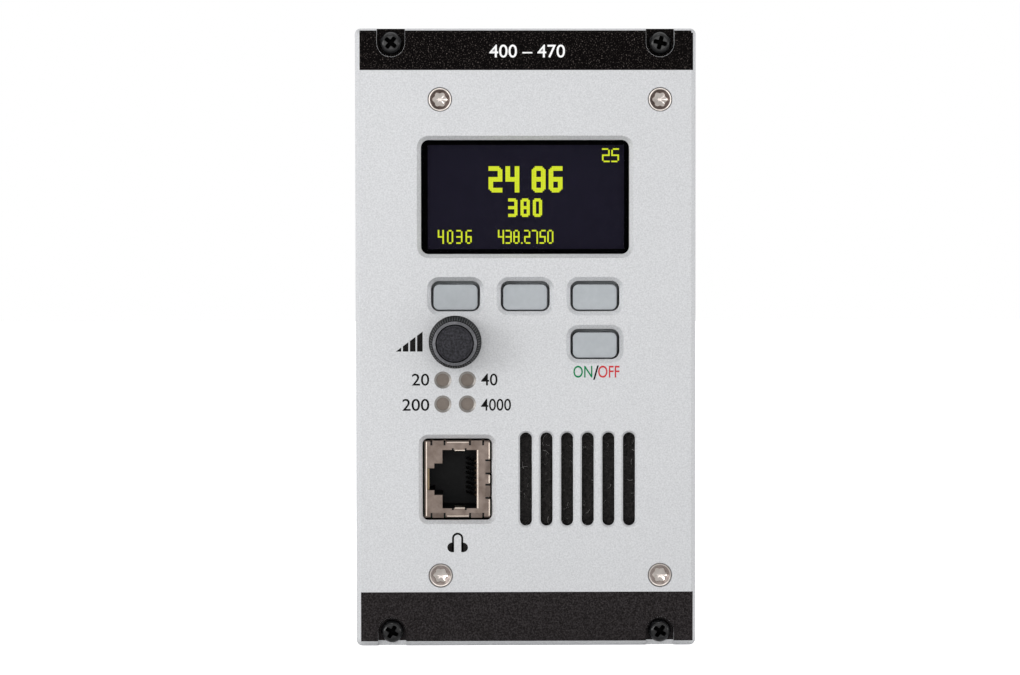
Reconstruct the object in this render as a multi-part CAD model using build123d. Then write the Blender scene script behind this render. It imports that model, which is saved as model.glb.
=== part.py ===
from build123d import *
import os
from math import hypot

# A plug-in receiver module, 3 units high and 14 pitches wide, for a 19 inch subrack.
# Origin: centre of the front panel's rear face. +X right, +Y into the rack, +Z up. Millimetres.

# Shared values
overrun = 1.0
thread_radius = 1.25
thread_clearance = 0.05
board_thickness = 1.6

# Front panel
rack_pitch = 5.08
panel_pitches = 14
panel_side_gap = 0.32
panel_width = panel_pitches * rack_pitch - panel_side_gap
panel_height = 128.5
panel_thickness = 4.0
panel_corner_radius = 1.2
panel_edge_bevel = 0.95
opening_bevel = 0.85

# Panel screws, captive in the panel
fixing_pitches = 11
fixing_spacing_x = fixing_pitches * rack_pitch
fixing_edge = 3.0
fixing_recess_radius = 2.92
fixing_recess_depth = 1.6
fixing_head_radius = 2.35
fixing_head_height = 1.9
fixing_head_edge = 0.5
fixing_reach = 9.0
fixing_neck_radius = 0.95
fixing_neck_end = 0.4
cross_span = 2.5
cross_width = 0.85
cross_depth = 1.3
cross_foot_share = 0.45

# Countersunk six-lobe screws, through the panel into the front bars and through the cassette's skin
chassis_screw_pitches = 9
chassis_spacing_share = 0.77089
chassis_screw_reach = 6.5
countersink_radius = 2.55
countersunk_head_radius = 2.4
countersunk_head_rim = 0.2
lobe_ring_radius = 1.05
lobe_radius = 0.4
lobe_count = 6
lobe_depth = 1.1

# Display
controls_x = -0.1
window_z_share = 0.22802
window_width = 43.3
window_height_share = 0.18444
window_corner_radius = 1.6
window_lip = 1.0
window_ledge = 1.6
window_gap = 0.1
window_thickness = 1.5
display_gap = 0.2
display_margin = 1.2
display_glass_thickness = 1.6
carrier_margin = 1.0
display_header_length = 34.0
display_header_width = 2.5
display_header_inset = 1.5
display_spacer_radius = 2.0
display_spacer_bore = 1.1
display_spacer_inset = 2.6

# Front board
board_stand_off = 12.0
front_board_width = 61.0
front_board_share = 0.70039
front_spacer_radius = 2.75
front_spacer_inset_x = 3.2
front_spacer_inset_z = 4.0

# Keys
key_pitch_x = 14.5
key_row_z_share = 0.0677
power_key_z_share = -0.01012
key_opening_width = 10.2
key_opening_height = 6.3
key_opening_radius = 1.7
key_gap = 0.45
key_drop = 0.22
key_setback = 0.8
key_edge_radius = 0.35
key_flange_overlap = 0.9
key_flange_thickness = 1.0
key_rest_gap = 0.3
key_boss_width = 5.0
key_boss_height = 4.2
key_boss_length = 2.7
key_travel = 0.7
switch_width = 6.0
switch_height = 5.0
plunger_width = 3.6
plunger_engagement = 2.4
plunger_clearance = 0.12
plunger_end_gap = 0.4

# Volume knob and its encoder
knob_x = -14.7
knob_z_share = -0.00638
knob_base_radius = 5.5
knob_shoulder_radius = 4.5
knob_height = 12.0
knob_panel_gap = 0.6
knob_edge_radius = 0.35
knob_shoulder_drop = 0.85
knob_ring_radius = 3.87
knob_ring_drop = 0.25
knob_rim_groove_width = 0.15
knob_rim_groove_depth = 0.4
knob_disc_edge = 0.12
knob_roof = 2.2
knob_rib_count = 48
knob_groove_radius = 0.28
knob_groove_depth = 0.14
knob_groove_margin = 1.2
shaft_radius = 3.0
shaft_flat_share = 0.75
shaft_clearance = 0.03
shaft_tail = 2.5
bushing_wall = 0.8
bushing_clearance = 0.2
bushing_setback = 0.6
encoder_width = 9.6
encoder_height = 6.5

# Indicator lamps
lamp_x = -14.72
lamp_z_share = -0.0874
lamp_spacing_x = 5.1
lamp_spacing_share = 0.03891
lamp_hole_radius = 1.58
lamp_hole_bevel = 0.22
lamp_radius = 1.5
lamp_setback = 0.45
lamp_crown = 0.15
lamp_flange_radius = 2.05
lamp_flange_thickness = 0.8
lamp_chip_gap = 0.3
lamp_chip_width = 2.0
lamp_chip_height = 1.2

# Modular socket
socket_x = -14.3
socket_z_share = -0.22918
socket_opening_width = 14.4
socket_opening_height = 17.0
socket_opening_radius = 1.1
socket_gap = 0.45
socket_side_gap = 0.35
socket_setback = 0.6
shield_sheet = 0.3
socket_fit = 0.05
plug_width = 7.1
plug_height = 12.2
plug_shift = 0.45
plug_depth = 12.0
latch_step_width = 1.7
latch_step_height = 6.6
latch_slot_width = 1.6
latch_slot_height = 4.6
finger_width = 2.35
side_finger_spacing = 5.1
end_finger_spacing = 8.05
finger_rise = 0.25
finger_slit_width = 0.4
finger_slit_length = 1.0
finger_bend = 0.22
lip_width = 2.3
lip_shift = 0.4
lip_notch = 0.38
shield_bevel = 0.26
finger_length = 4.0
finger_crest_share = 0.3
contact_count = 8
contact_pitch = 1.02
contact_width = 0.45
contact_thickness = 0.35
contact_start = 3.4
contact_drop = 2.3
contact_end_gap = 0.2

# Speaker
slot_count = 6
slot_first_x = 0.0
slot_pitch = 4.3
slot_width = 2.5
slot_length_share = 0.15136
slot_bevel = 0.38
cloth_pocket_depth = 2.0
cloth_margin = 2.0
cloth_gap = 0.2
cloth_thickness = 1.4
basket_rim_share = 0.12062
basket_rim_width = 1.8
basket_rim_thickness = 1.2
basket_wall = 0.6
basket_depth = 5.5
magnet_radius = 9.0
magnet_depth = 4.5
coil_radius = 4.5
coil_wall = 0.2
coil_gap = 0.5
coil_reach = 2.0
coil_end_gap = 1.0
cone_edge_gap = 0.4
cone_setback = 0.9
cone_thickness = 0.4
cone_neck_y = 4.0
cone_travel = 0.4

# Cassette behind the panel
side_plate_x = 33.0
side_sheet = 1.5
runner_height = 1.5
bar_height = 7.0
bar_depth = 12.0
frame_screw_y = 9.0
frame_screw_length = 6.0
cover_sheet = 1.0
cover_gap = 0.2
cover_screw_x = 22.0
vent_length = 22.0
vent_width = 3.0
vent_pitch_share = 2.0
vent_margin_y = 26.0
vent_column_x = 14.0
rear_sheet = 2.0
rear_screw_x = 24.0

# Pan-head screws for the boards and the rear panel
pan_head_radius = 2.3
pan_head_height = 1.6
pan_screw_length = 6.0

# Receiver board on the right side plate
receiver_stand_off = 8.0
receiver_start_y = 22.0
receiver_length = 130.0
receiver_rear_room = 20.0
receiver_height_share = 0.6537
board_spacer_radius = 2.5
board_spacer_inset = 5.5
can_depth = 13.0
can_length = 66.0
can_height = 60.0
can_sheet = 0.5
can_y_share = 0.5385

# Ribbon cable between front board and receiver board
ribbon_header_width = 9.0
ribbon_header_height = 26.0
ribbon_header_depth = 8.5
ribbon_thickness = 0.9
ribbon_width = 20.3
ribbon_radius = 13.0
ribbon_run = 4.0

# Power board on the left side plate
power_stand_off = 6.0
power_rear_room = 22.0
power_length = 100.0
power_height_share = 0.56031
power_z_share = -0.04669
transformer_depth = 22.0
transformer_size = 28.0
transformer_offset_y = 45.0
transformer_z = -8.0
capacitor_count = 3
capacitor_radius = 8.0
capacitor_length = 20.0
capacitor_pitch = 19.0
capacitor_offset_y = 16.0

# Antenna connector
antenna_x = 2.0
antenna_z_share = 0.2179
antenna_flange = 25.4
antenna_flange_thickness = 2.0
antenna_screw_spacing = 18.3
antenna_radius = 7.94
antenna_length = 13.0
antenna_bore_radius = 6.0
antenna_bore_depth = 10.0
antenna_neck_radius = 5.6
antenna_neck_length = 14.0
insulator_radius = 3.4
insulator_stand = 3.0
contact_pin_radius = 1.5
contact_pin_stand = 4.0
lead_radius = 1.4
lead_bend_radius = 14.0
lead_run = 6.0

# Mains inlet
inlet_x = 0.0
inlet_z_share = -0.21012
inlet_bezel_width = 31.0
inlet_bezel_height = 24.5
inlet_bezel_thickness = 2.5
inlet_bezel_radius = 2.0
inlet_body_width = 27.5
inlet_body_height = 20.0
inlet_body_depth = 20.0
inlet_cavity_width = 24.4
inlet_cavity_height = 16.4
inlet_cavity_corner = 4.6
inlet_cavity_depth = 17.0
inlet_fit = 0.1
pin_spacing = 14.0
pin_offset_z = 4.0
pin_width = 2.0
pin_height = 4.0
pin_recess = 5.0
pin_tail = 6.0
pin_fit = 0.02
wire_radius = 1.1
wire_bend_radius = 10.0
wire_run = 5.0
wire_stagger = 10.0

# Data connector
data_x = 0.0
data_z_share = 0.02335
data_flange_width = 39.2
data_flange_height = 12.5
data_flange_thickness = 1.0
data_shell_width = 24.6
data_shell_height = 8.0
data_shell_slope = 1.1
data_shell_length = 6.0
data_shell_sheet = 0.5
data_insert_fit = 0.05
data_insert_tail = 9.0
data_hole_radius = 0.55
data_hole_depth = 5.0
data_hole_pitch = 2.75
data_row_spacing = 2.84
data_row_counts = (8, 7)
jack_screw_spacing = 33.3
jack_screw_radius = 2.6
jack_screw_length = 5.0
jack_screw_tail = 5.0
jack_screw_bore = 1.0
jack_screw_bore_depth = 4.0

# Earth stud
earth_x = -20.0
earth_z_share = 0.28016
earth_radius = 2.0
earth_length = 12.0
earth_collar_radius = 4.0
earth_collar_thickness = 3.0
earth_tail = 4.0

# Places and sizes that follow from the values above; shares are shares of the panel's height
front = -panel_thickness
window_z = panel_height * window_z_share
window_height = panel_height * window_height_share
key_row_z = panel_height * key_row_z_share
power_key_z = panel_height * power_key_z_share
knob_z = panel_height * knob_z_share
lamp_z = panel_height * lamp_z_share
lamp_spacing_z = panel_height * lamp_spacing_share
socket_z = panel_height * socket_z_share
speaker_z = socket_z
slot_length = panel_height * slot_length_share
basket_rim_radius = panel_height * basket_rim_share
basket_inner_radius = basket_rim_radius - basket_rim_width
front_board_height = panel_height * front_board_share
receiver_height = panel_height * receiver_height_share
power_height = panel_height * power_height_share
power_z = panel_height * power_z_share
antenna_z = panel_height * antenna_z_share
inlet_z = panel_height * inlet_z_share
data_z = panel_height * data_z_share
earth_z = panel_height * earth_z_share
cassette_depth = receiver_start_y + receiver_length + receiver_rear_room
board_front = board_stand_off
board_rear = board_front + board_thickness
fixing_x = fixing_spacing_x / 2
fixing_z = panel_height / 2 - fixing_edge
chassis_screw_xs = (fixing_x - chassis_screw_pitches * rack_pitch, fixing_x)
bar_z = panel_height * chassis_spacing_share / 2
bar_top = bar_z + bar_height / 2
cover_top = bar_top + cover_sheet
side_inner = side_plate_x - side_sheet
rear_face = cassette_depth + rear_sheet
key_width = key_opening_width - 2 * key_gap
key_height = key_opening_height - 2 * key_gap
key_xs = (controls_x - key_pitch_x, controls_x, controls_x + key_pitch_x)
key_flange_back = key_rest_gap + key_flange_thickness
key_boss_end = key_flange_back + key_boss_length
switch_front = board_front - switch_height
plunger_end = switch_front + plunger_engagement
speaker_x = slot_first_x + slot_pitch * (slot_count - 1) / 2
window_back = front + window_lip + window_thickness
glass_front = window_back + display_gap
glass_back = glass_front + display_glass_thickness
carrier_back = glass_back + board_thickness
display_width = window_width + 2 * display_margin
display_height = window_height + 2 * display_margin
carrier_width = display_width + 2 * carrier_margin
carrier_height = display_height + 2 * carrier_margin
socket_width = socket_opening_width - 2 * socket_side_gap
socket_height = socket_opening_height - 2 * socket_gap
socket_face = front + socket_setback
receiver_face = side_inner - receiver_stand_off - board_thickness
receiver_y = receiver_start_y + receiver_length / 2
power_face = -side_inner + power_stand_off + board_thickness
can_y = receiver_start_y + receiver_length * can_y_share
power_start_y = cassette_depth - power_rear_room - power_length
power_y = power_start_y + power_length / 2
transformer_y = power_start_y + transformer_offset_y
capacitor_y = power_start_y + capacitor_offset_y
ribbon_header_y = board_rear + ribbon_header_depth + ribbon_run + ribbon_radius
ribbon_x = receiver_face - ribbon_header_depth - ribbon_run - ribbon_radius
inlet_pin_tip = rear_face + inlet_bezel_thickness - pin_recess
coil_slot_depth = coil_reach + cone_travel + coil_end_gap


# Solids and sketches that many pieces share
def block(x, y, z):
    """A block between two places on each axis."""
    middle = Pos((x[0] + x[1]) / 2, (y[0] + y[1]) / 2, (z[0] + z[1]) / 2)
    return middle * Box(x[1] - x[0], y[1] - y[0], z[1] - z[0])


def around(middle, size):
    """The two ends of a size about its middle."""
    return (middle - size / 2, middle + size / 2)


def rod_y(x, z, y, radius):
    return Pos(x, (y[0] + y[1]) / 2, z) * Rot(90, 0, 0) * Cylinder(radius, y[1] - y[0])


def rod_x(y, z, x, radius):
    return Pos((x[0] + x[1]) / 2, y, z) * Rot(0, 90, 0) * Cylinder(radius, x[1] - x[0])


def facing_front(x, y, z):
    """Stands a flat sketch upright at a point, facing -Y."""
    return Pos(x, y, z) * Rot(90, 0, 0)


def prism(sketch, x, z, y):
    """A sketch drawn as seen from the front, between two depths."""
    return extrude(facing_front(x, y[1], z) * sketch, amount=y[1] - y[0])


def rounded_block(x, z, width, height, radius, y):
    return prism(RectangleRounded(width, height, radius), x, z, y)


def turned(points, x, z):
    """A solid of revolution about a line along Y, from points of radius and depth."""
    profile = make_face(Polyline(*points, close=True))
    return Pos(x, 0, z) * revolve(profile, Axis.Y)


def bevelled_cut(outer, inner, bevel, x, z, back):
    """A cutter from before the panel to a depth, with a 45 degree bevel at the panel's face."""
    mouth = facing_front(x, front, z) * outer
    throat = facing_front(x, front + bevel, z) * inner
    flare = loft([mouth, throat], ruled=True)
    lead_in = extrude(mouth, amount=overrun)
    return flare + lead_in + prism(inner, x, z, (front + bevel, back))


def bevelled_opening(x, z, width, height, radius):
    """A cutter for a rounded opening through the panel with a bevelled front edge."""
    grown = 2 * opening_bevel
    outer = RectangleRounded(width + grown, height + grown, radius + opening_bevel)
    inner = RectangleRounded(width, height, radius)
    return bevelled_cut(outer, inner, opening_bevel, x, z, overrun)


def tapered_bar(length, width, depth):
    """One arm of a cross recess, narrower at its foot, going into +Y from the origin."""
    mouth = facing_front(0, 0, 0) * Rectangle(length, width)
    foot = facing_front(0, depth, 0) * Rectangle(length * cross_foot_share, width * cross_foot_share)
    return loft([mouth, foot], ruled=True)


def lobes():
    """A six-lobe recess, going into +Y from the origin."""
    recess = rod_y(0, 0, (0, lobe_depth), lobe_ring_radius)
    for index in range(lobe_count):
        turn = Rot(0, 360 / lobe_count * index, 0)
        recess += turn * rod_y(lobe_ring_radius, 0, (0, lobe_depth), lobe_radius)
    return recess


def pan_screw(head_radius, head_height, head_edge, length):
    """A cross-recess screw whose head seats on y = 0 and whose shank points to +Y."""
    head = rod_y(0, 0, (-head_height, 0), head_radius)
    head = fillet(head.edges().group_by(Axis.Y)[0], head_edge)
    cross = tapered_bar(cross_span, cross_width, cross_depth)
    cross += tapered_bar(cross_width, cross_span, cross_depth)
    shank = rod_y(0, 0, (0, length), thread_radius)
    return head + shank - Pos(0, -head_height, 0) * cross


def countersunk_screw(length):
    """A flush six-lobe screw whose face is y = 0 and whose shank points to +Y."""
    cone_end = countersunk_head_rim + countersunk_head_radius - thread_radius
    points = [
        (0, 0),
        (countersunk_head_radius, 0),
        (countersunk_head_radius, countersunk_head_rim),
        (thread_radius, cone_end),
        (thread_radius, length),
        (0, length),
    ]
    return turned(points, 0, 0) - lobes()


def countersink(length):
    """The seat of a countersunk screw, a little larger all round, from before its face."""
    spread = countersink_radius - countersunk_head_radius
    hole = thread_radius + thread_clearance
    cone_start = countersunk_head_rim + spread
    cone_end = cone_start + countersink_radius - hole
    points = [
        (0, -overrun),
        (countersink_radius, -overrun),
        (countersink_radius, cone_start),
        (hole, cone_end),
        (hole, length + overrun),
        (0, length + overrun),
    ]
    return turned(points, 0, 0)


def group(solids):
    """Separate solids that share one node."""
    return Compound(children=list(solids))


# Places of the fasteners
def fixing_places():
    return [Pos(x, 0, z) for x in (-fixing_x, fixing_x) for z in (-fixing_z, fixing_z)]


def chassis_screw_places():
    return [Pos(x, front, z) for x in chassis_screw_xs for z in (-bar_z, bar_z)]


def side_screw_places(side):
    """Turns a screw that points to +Y so that it goes in through a side plate."""
    turn = Rot(0, 0, side * 90)
    depths = (frame_screw_y, cassette_depth - frame_screw_y)
    return [Pos(side * side_plate_x, y, z) * turn for y in depths for z in (-bar_z, bar_z)]


def cover_screw_places(side):
    """Turns a screw that points to +Y so that it goes in through the top or bottom cover."""
    turn = Rot(-side * 90, 0, 0)
    depths = (frame_screw_y, cassette_depth - frame_screw_y)
    xs = (-cover_screw_x, cover_screw_x)
    return [Pos(x, y, side * cover_top) * turn for x in xs for y in depths]


def frame_screw_places():
    places = []
    for side in (-1, 1):
        places += side_screw_places(side) + cover_screw_places(side)
    return places


def rear_frame_places():
    turn = Rot(0, 0, 180)
    xs = (-rear_screw_x, rear_screw_x)
    return [Pos(x, rear_face, z) * turn for x in xs for z in (-bar_z, bar_z)]


def antenna_screw_places():
    half = antenna_screw_spacing / 2
    face = rear_face + antenna_flange_thickness
    turn = Rot(0, 0, 180)
    return [
        Pos(antenna_x + x, face, antenna_z + z) * turn for x in (-half, half) for z in (-half, half)
    ]


def front_board_places():
    x = front_board_width / 2 - front_spacer_inset_x
    z = front_board_height / 2 - front_spacer_inset_z
    return [(side * x, level * z) for side in (-1, 1) for level in (-1, 1)]


def side_board_places(middle_y, length, middle_z, height):
    y = length / 2 - board_spacer_inset
    z = height / 2 - board_spacer_inset
    return [(middle_y + end * y, middle_z + level * z) for end in (-1, 1) for level in (-1, 1)]


receiver_places = side_board_places(receiver_y, receiver_length, 0, receiver_height)
power_places = side_board_places(power_y, power_length, power_z, power_height)


# Front panel and its screws
def key_places():
    row = [(x, key_row_z) for x in key_xs]
    return row + [(key_xs[-1], power_key_z)]


def lamp_places():
    xs = around(lamp_x, lamp_spacing_x)
    zs = around(lamp_z, lamp_spacing_z)
    return [(x, z) for x in xs for z in zs]


def fixing_recess(x, z):
    """A U-shaped recess, open to the panel's nearer edge, with the screw's hole in its floor."""
    end = (panel_height / 2 + overrun) * (1 if z > 0 else -1)
    depth = (front - overrun, front + fixing_recess_depth)
    floor = rod_y(x, z, depth, fixing_recess_radius)
    channel = block(around(x, 2 * fixing_recess_radius), depth, sorted((z, end)))
    hole = rod_y(x, z, (front, overrun), thread_radius + thread_clearance)
    return floor + channel + hole


def speaker_slots():
    cuts = []
    grown = 2 * slot_bevel
    for index in range(slot_count):
        outer = SlotOverall(slot_length + grown, slot_width + grown, rotation=90)
        inner = SlotOverall(slot_length, slot_width, rotation=90)
        x = slot_first_x + slot_pitch * index
        cuts.append(bevelled_cut(outer, inner, slot_bevel, x, speaker_z, overrun))
    return cuts


def cloth_size():
    width = slot_pitch * (slot_count - 1) + slot_width + 2 * cloth_margin
    return width, slot_length + 2 * cloth_margin


def window_rebate():
    grown = 2 * (window_ledge + window_gap)
    radius = window_corner_radius + window_ledge + window_gap
    depth = (front + window_lip, overrun)
    return rounded_block(
        controls_x, window_z, window_width + grown, window_height + grown, radius, depth
    )


def front_panel():
    outline = RectangleRounded(panel_width, panel_height, panel_corner_radius)
    panel = prism(outline, 0, 0, (front, 0))
    panel = chamfer(panel.faces().sort_by(Axis.Y)[0].edges(), panel_edge_bevel)
    cuts = [fixing_recess(x, z) for x in (-fixing_x, fixing_x) for z in (-fixing_z, fixing_z)]
    cuts += [place * countersink(panel_thickness) for place in chassis_screw_places()]
    cuts.append(
        bevelled_opening(controls_x, window_z, window_width, window_height, window_corner_radius)
    )
    cuts.append(window_rebate())
    for x, z in key_places():
        cuts.append(
            bevelled_opening(x, z, key_opening_width, key_opening_height, key_opening_radius)
        )
    bushing_hole = bushing_radius() + bushing_clearance
    cuts.append(rod_y(knob_x, knob_z, (front - overrun, overrun), bushing_hole))
    for x, z in lamp_places():
        outer = Circle(lamp_hole_radius + lamp_hole_bevel)
        cuts.append(bevelled_cut(outer, Circle(lamp_hole_radius), lamp_hole_bevel, x, z, overrun))
    cuts.append(
        bevelled_opening(
            socket_x, socket_z, socket_opening_width, socket_opening_height, socket_opening_radius
        )
    )
    width, height = cloth_size()
    pocket = (-cloth_pocket_depth, overrun)
    cuts.append(rounded_block(speaker_x, speaker_z, width, height, cloth_margin, pocket))
    return panel - cuts - speaker_slots()


def panel_screws():
    """Captive screws: a thin neck in the panel, and the thread behind it can't draw out."""
    seat = front + fixing_recess_depth
    screw = pan_screw(fixing_head_radius, fixing_head_height, fixing_head_edge, fixing_reach - seat)
    neck = (0, fixing_neck_end - seat)
    screw -= rod_y(0, 0, neck, fixing_head_radius) - rod_y(0, 0, neck, fixing_neck_radius)
    return group(place * Pos(0, seat, 0) * screw for place in fixing_places())


def chassis_screws():
    screw = countersunk_screw(panel_thickness + chassis_screw_reach)
    setback = countersink_radius - countersunk_head_radius
    return group(place * Pos(0, setback, 0) * screw for place in chassis_screw_places())


# Display
def display_window():
    grown = 2 * window_ledge
    radius = window_corner_radius + window_ledge
    depth = (front + window_lip, window_back)
    return rounded_block(
        controls_x, window_z, window_width + grown, window_height + grown, radius, depth
    )


def display_glass():
    radius = window_corner_radius + display_margin
    depth = (glass_front, glass_back)
    return rounded_block(controls_x, window_z, display_width, display_height, radius, depth)


def display_carrier():
    x = around(controls_x, carrier_width)
    z = around(window_z, carrier_height)
    return block(x, (glass_back, carrier_back), z)


def display_header():
    z = window_z + carrier_height / 2 - display_header_inset
    x = around(controls_x, display_header_length)
    return block(x, (carrier_back, board_front), around(z, display_header_width))


def display_spacers():
    x = carrier_width / 2 - display_spacer_inset
    z = carrier_height / 2 - display_spacer_inset
    depth = (carrier_back, board_front)
    solids = []
    for side in (-1, 1):
        for level in (-1, 1):
            place = (controls_x + side * x, window_z + level * z)
            solids.append(
                rod_y(*place, depth, display_spacer_radius) - rod_y(*place, depth, display_spacer_bore)
            )
    return group(solids)


# Keys and their switches
def key(x, z):
    """A key cap with the flange that keeps it behind the panel and the boss that meets its plunger."""
    middle_z = z - key_drop
    radius = key_opening_radius - key_gap
    depth = (front + key_setback, key_rest_gap)
    cap = rounded_block(x, middle_z, key_width, key_height, radius, depth)
    cap = fillet(cap.faces().sort_by(Axis.Y)[0].edges(), key_edge_radius)
    flange_x = around(x, key_opening_width + 2 * key_flange_overlap)
    flange_z = around(middle_z, key_opening_height + 2 * key_flange_overlap)
    flange = block(flange_x, (key_rest_gap, key_flange_back), flange_z)
    boss = block(
        around(x, key_boss_width), (key_flange_back, key_boss_end), around(middle_z, key_boss_height)
    )
    return cap + flange + boss


def key_plunger(x, z):
    side = around(x, plunger_width)
    return block(side, (key_boss_end, plunger_end), around(z - key_drop, plunger_width))


def key_switch(x, z):
    """A switch body on the front board with the well that its plunger runs in."""
    middle_z = z - key_drop
    body = block(around(x, switch_width), (switch_front, board_front), around(middle_z, switch_width))
    well_width = plunger_width + 2 * plunger_clearance
    well_end = plunger_end + key_travel + plunger_end_gap
    well = block(
        around(x, well_width), (switch_front - overrun, well_end), around(middle_z, well_width)
    )
    return body - well


# Volume knob and encoder
def bushing_radius():
    return shaft_radius + shaft_clearance + bushing_wall


def shaft_solid(radius, depth):
    """A shaft along the knob's line with a flat for the knob over its front part."""
    rod = rod_y(knob_x, knob_z, depth, radius)
    flat_z = knob_z + shaft_radius * shaft_flat_share + radius - shaft_radius
    flat_end = front - knob_panel_gap
    flat = block(
        around(knob_x, 2 * radius + overrun), (depth[0] - overrun, flat_end), (flat_z, knob_z + 2 * radius)
    )
    return rod - flat


def knob_groove():
    """One groove of the knob's grip, along its tapered side."""
    rise = knob_height - knob_panel_gap
    taper = knob_shoulder_radius - knob_base_radius
    slant = hypot(rise, taper)
    offset = knob_groove_radius - knob_groove_depth
    start = (knob_base_radius + offset, front - knob_panel_gap + overrun, 0)
    line = Plane(origin=start, z_dir=(taper, -rise, 0))
    length = slant - knob_groove_margin + overrun
    align = (Align.CENTER, Align.CENTER, Align.MIN)
    return line * Cylinder(knob_groove_radius, length, align=align)


def volume_knob():
    base = front - knob_panel_gap
    top = front - knob_height
    disc_radius = knob_ring_radius - knob_rim_groove_width
    groove_floor = top + knob_ring_drop + knob_rim_groove_depth
    points = [
        (0, base),
        (knob_base_radius, base),
        (knob_shoulder_radius, top + knob_shoulder_drop),
        (knob_ring_radius, top + knob_ring_drop),
        (0, top + knob_ring_drop),
    ]
    knob = turned(points, 0, 0)
    shoulder = knob.edges().filter_by(GeomType.CIRCLE).sort_by(SortBy.RADIUS)[1]
    knob = fillet(shoulder, knob_edge_radius)
    knob -= turned(
        [
            (disc_radius, top),
            (knob_ring_radius, top),
            (knob_ring_radius, groove_floor),
            (disc_radius, groove_floor),
        ],
        0,
        0,
    )
    knob += turned(
        [
            (0, top),
            (disc_radius - knob_disc_edge, top),
            (disc_radius, top + knob_disc_edge),
            (disc_radius, groove_floor),
            (0, groove_floor),
        ],
        0,
        0,
    )
    groove = knob_groove()
    step = 360 / knob_rib_count
    knob -= [Rot(0, step * index, 0) * groove for index in range(knob_rib_count)]
    bore = shaft_solid(shaft_radius + shaft_clearance, (top + knob_roof, base + overrun))
    return Pos(knob_x, 0, knob_z) * knob - bore


def encoder_shaft():
    tail = board_front - encoder_height + shaft_tail
    return shaft_solid(shaft_radius, (front - knob_height + knob_roof, tail))


def encoder_body():
    encoder_front = board_front - encoder_height
    body = block(
        around(knob_x, encoder_width), (encoder_front, board_front), around(knob_z, encoder_width)
    )
    body += rod_y(knob_x, knob_z, (front + bushing_setback, encoder_front), bushing_radius())
    well = (front, encoder_front + shaft_tail + shaft_clearance)
    return body - rod_y(knob_x, knob_z, well, shaft_radius + shaft_clearance)


# Indicator lamps
def light_pipe(x, z):
    face = front + lamp_setback
    chip_face = board_front - lamp_chip_height
    points = [
        (0, face - lamp_crown),
        (lamp_radius - lamp_crown, face - lamp_crown),
        (lamp_radius, face),
        (lamp_radius, 0),
        (lamp_flange_radius, 0),
        (lamp_flange_radius, lamp_flange_thickness),
        (lamp_radius, lamp_flange_thickness),
        (lamp_radius, chip_face - lamp_chip_gap),
        (0, chip_face - lamp_chip_gap),
    ]
    return turned(points, x, z)


def lamp_chip(x, z):
    chip = around(x, lamp_chip_width)
    return block(chip, (board_front - lamp_chip_height, board_front), around(z, lamp_chip_width))


# Modular socket
def plug_space(depth):
    """The stepped space that a plug and its latch fill, between two depths."""
    right = socket_x + plug_shift + plug_width / 2
    left = right - plug_width
    step = left - latch_step_width
    slot = step - latch_slot_width
    space = block((left, right), depth, around(socket_z, plug_height))
    space += block((step, right), depth, around(socket_z, latch_step_height))
    return space + block((slot, right), depth, around(socket_z, latch_slot_height))


def spring_finger(edge):
    """A spring tongue that stands out of the shield's wall at x = edge, along Y."""
    crest = socket_face + finger_length * finger_crest_share
    outline = Polyline(
        (edge - shield_sheet / 2, socket_face + finger_bend),
        (edge, socket_face + finger_bend),
        (edge + finger_rise, crest),
        (edge, socket_face + finger_length),
        (edge - shield_sheet / 2, socket_face + finger_length),
        close=True,
    )
    return Pos(0, 0, -finger_width / 2) * extrude(make_face(outline), amount=finger_width)


def lip_cuts():
    """Notches at both ends of the lips that the plug's opening has at its top and bottom."""
    depth = (socket_face - overrun, socket_face + shield_sheet)
    cuts = []
    for x in around(socket_x + lip_shift, lip_width + lip_notch):
        for z in around(socket_z, plug_height + lip_notch):
            cuts.append(block(around(x, lip_notch), depth, around(z, lip_notch)))
    return cuts


def finger_cuts(edge):
    """What frees a spring tongue at x = edge: two slits in plate and wall, and the bend between them."""
    depth = (socket_face - overrun, socket_face + finger_length)
    root = edge - finger_slit_length
    middles = around(0, finger_width + finger_slit_width)
    cuts = [block((root, edge + overrun), depth, around(z, finger_slit_width)) for z in middles]
    bend = Polyline(
        (root, socket_face),
        (edge, socket_face - overrun),
        (edge, socket_face + finger_bend),
        close=True,
    )
    cuts.append(Pos(0, 0, -finger_width / 2) * extrude(make_face(bend), amount=finger_width))
    return cuts


def jack_shield():
    """A folded tin shield: a front plate with the plug's opening and four sides, open at the board."""
    x = around(socket_x, socket_width)
    z = around(socket_z, socket_height)
    shell = block(x, (socket_face, board_front), z)
    shell = chamfer(shell.faces().sort_by(Axis.Y)[0].edges(), shield_bevel)
    inside_x = around(socket_x, socket_width - 2 * shield_sheet)
    inside_z = around(socket_z, socket_height - 2 * shield_sheet)
    shell -= block(inside_x, (socket_face + shield_sheet, board_front + overrun), inside_z)
    shell -= plug_space((socket_face - overrun, socket_face + 2 * shield_sheet))
    shell -= lip_cuts()
    side_finger = spring_finger(socket_width / 2)
    side_cuts = finger_cuts(socket_width / 2)
    end_finger = spring_finger(socket_height / 2)
    end_cuts = finger_cuts(socket_height / 2)
    for shift in around(0, side_finger_spacing):
        place = Pos(socket_x, 0, socket_z + shift)
        shell -= [place * cut for cut in side_cuts]
        shell += place * side_finger
    for shift in around(0, end_finger_spacing):
        for turn in (-90, 90):
            place = Pos(socket_x + shift, 0, socket_z) * Rot(0, turn, 0)
            shell -= [place * cut for cut in end_cuts]
            shell += place * end_finger
    return shell


def jack_housing():
    x = around(socket_x, socket_width - 2 * (shield_sheet + socket_fit))
    z = around(socket_z, socket_height - 2 * (shield_sheet + socket_fit))
    face = socket_face + shield_sheet
    body = block(x, (face, board_front), z)
    return body - plug_space((face - overrun, socket_face + plug_depth))


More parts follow.
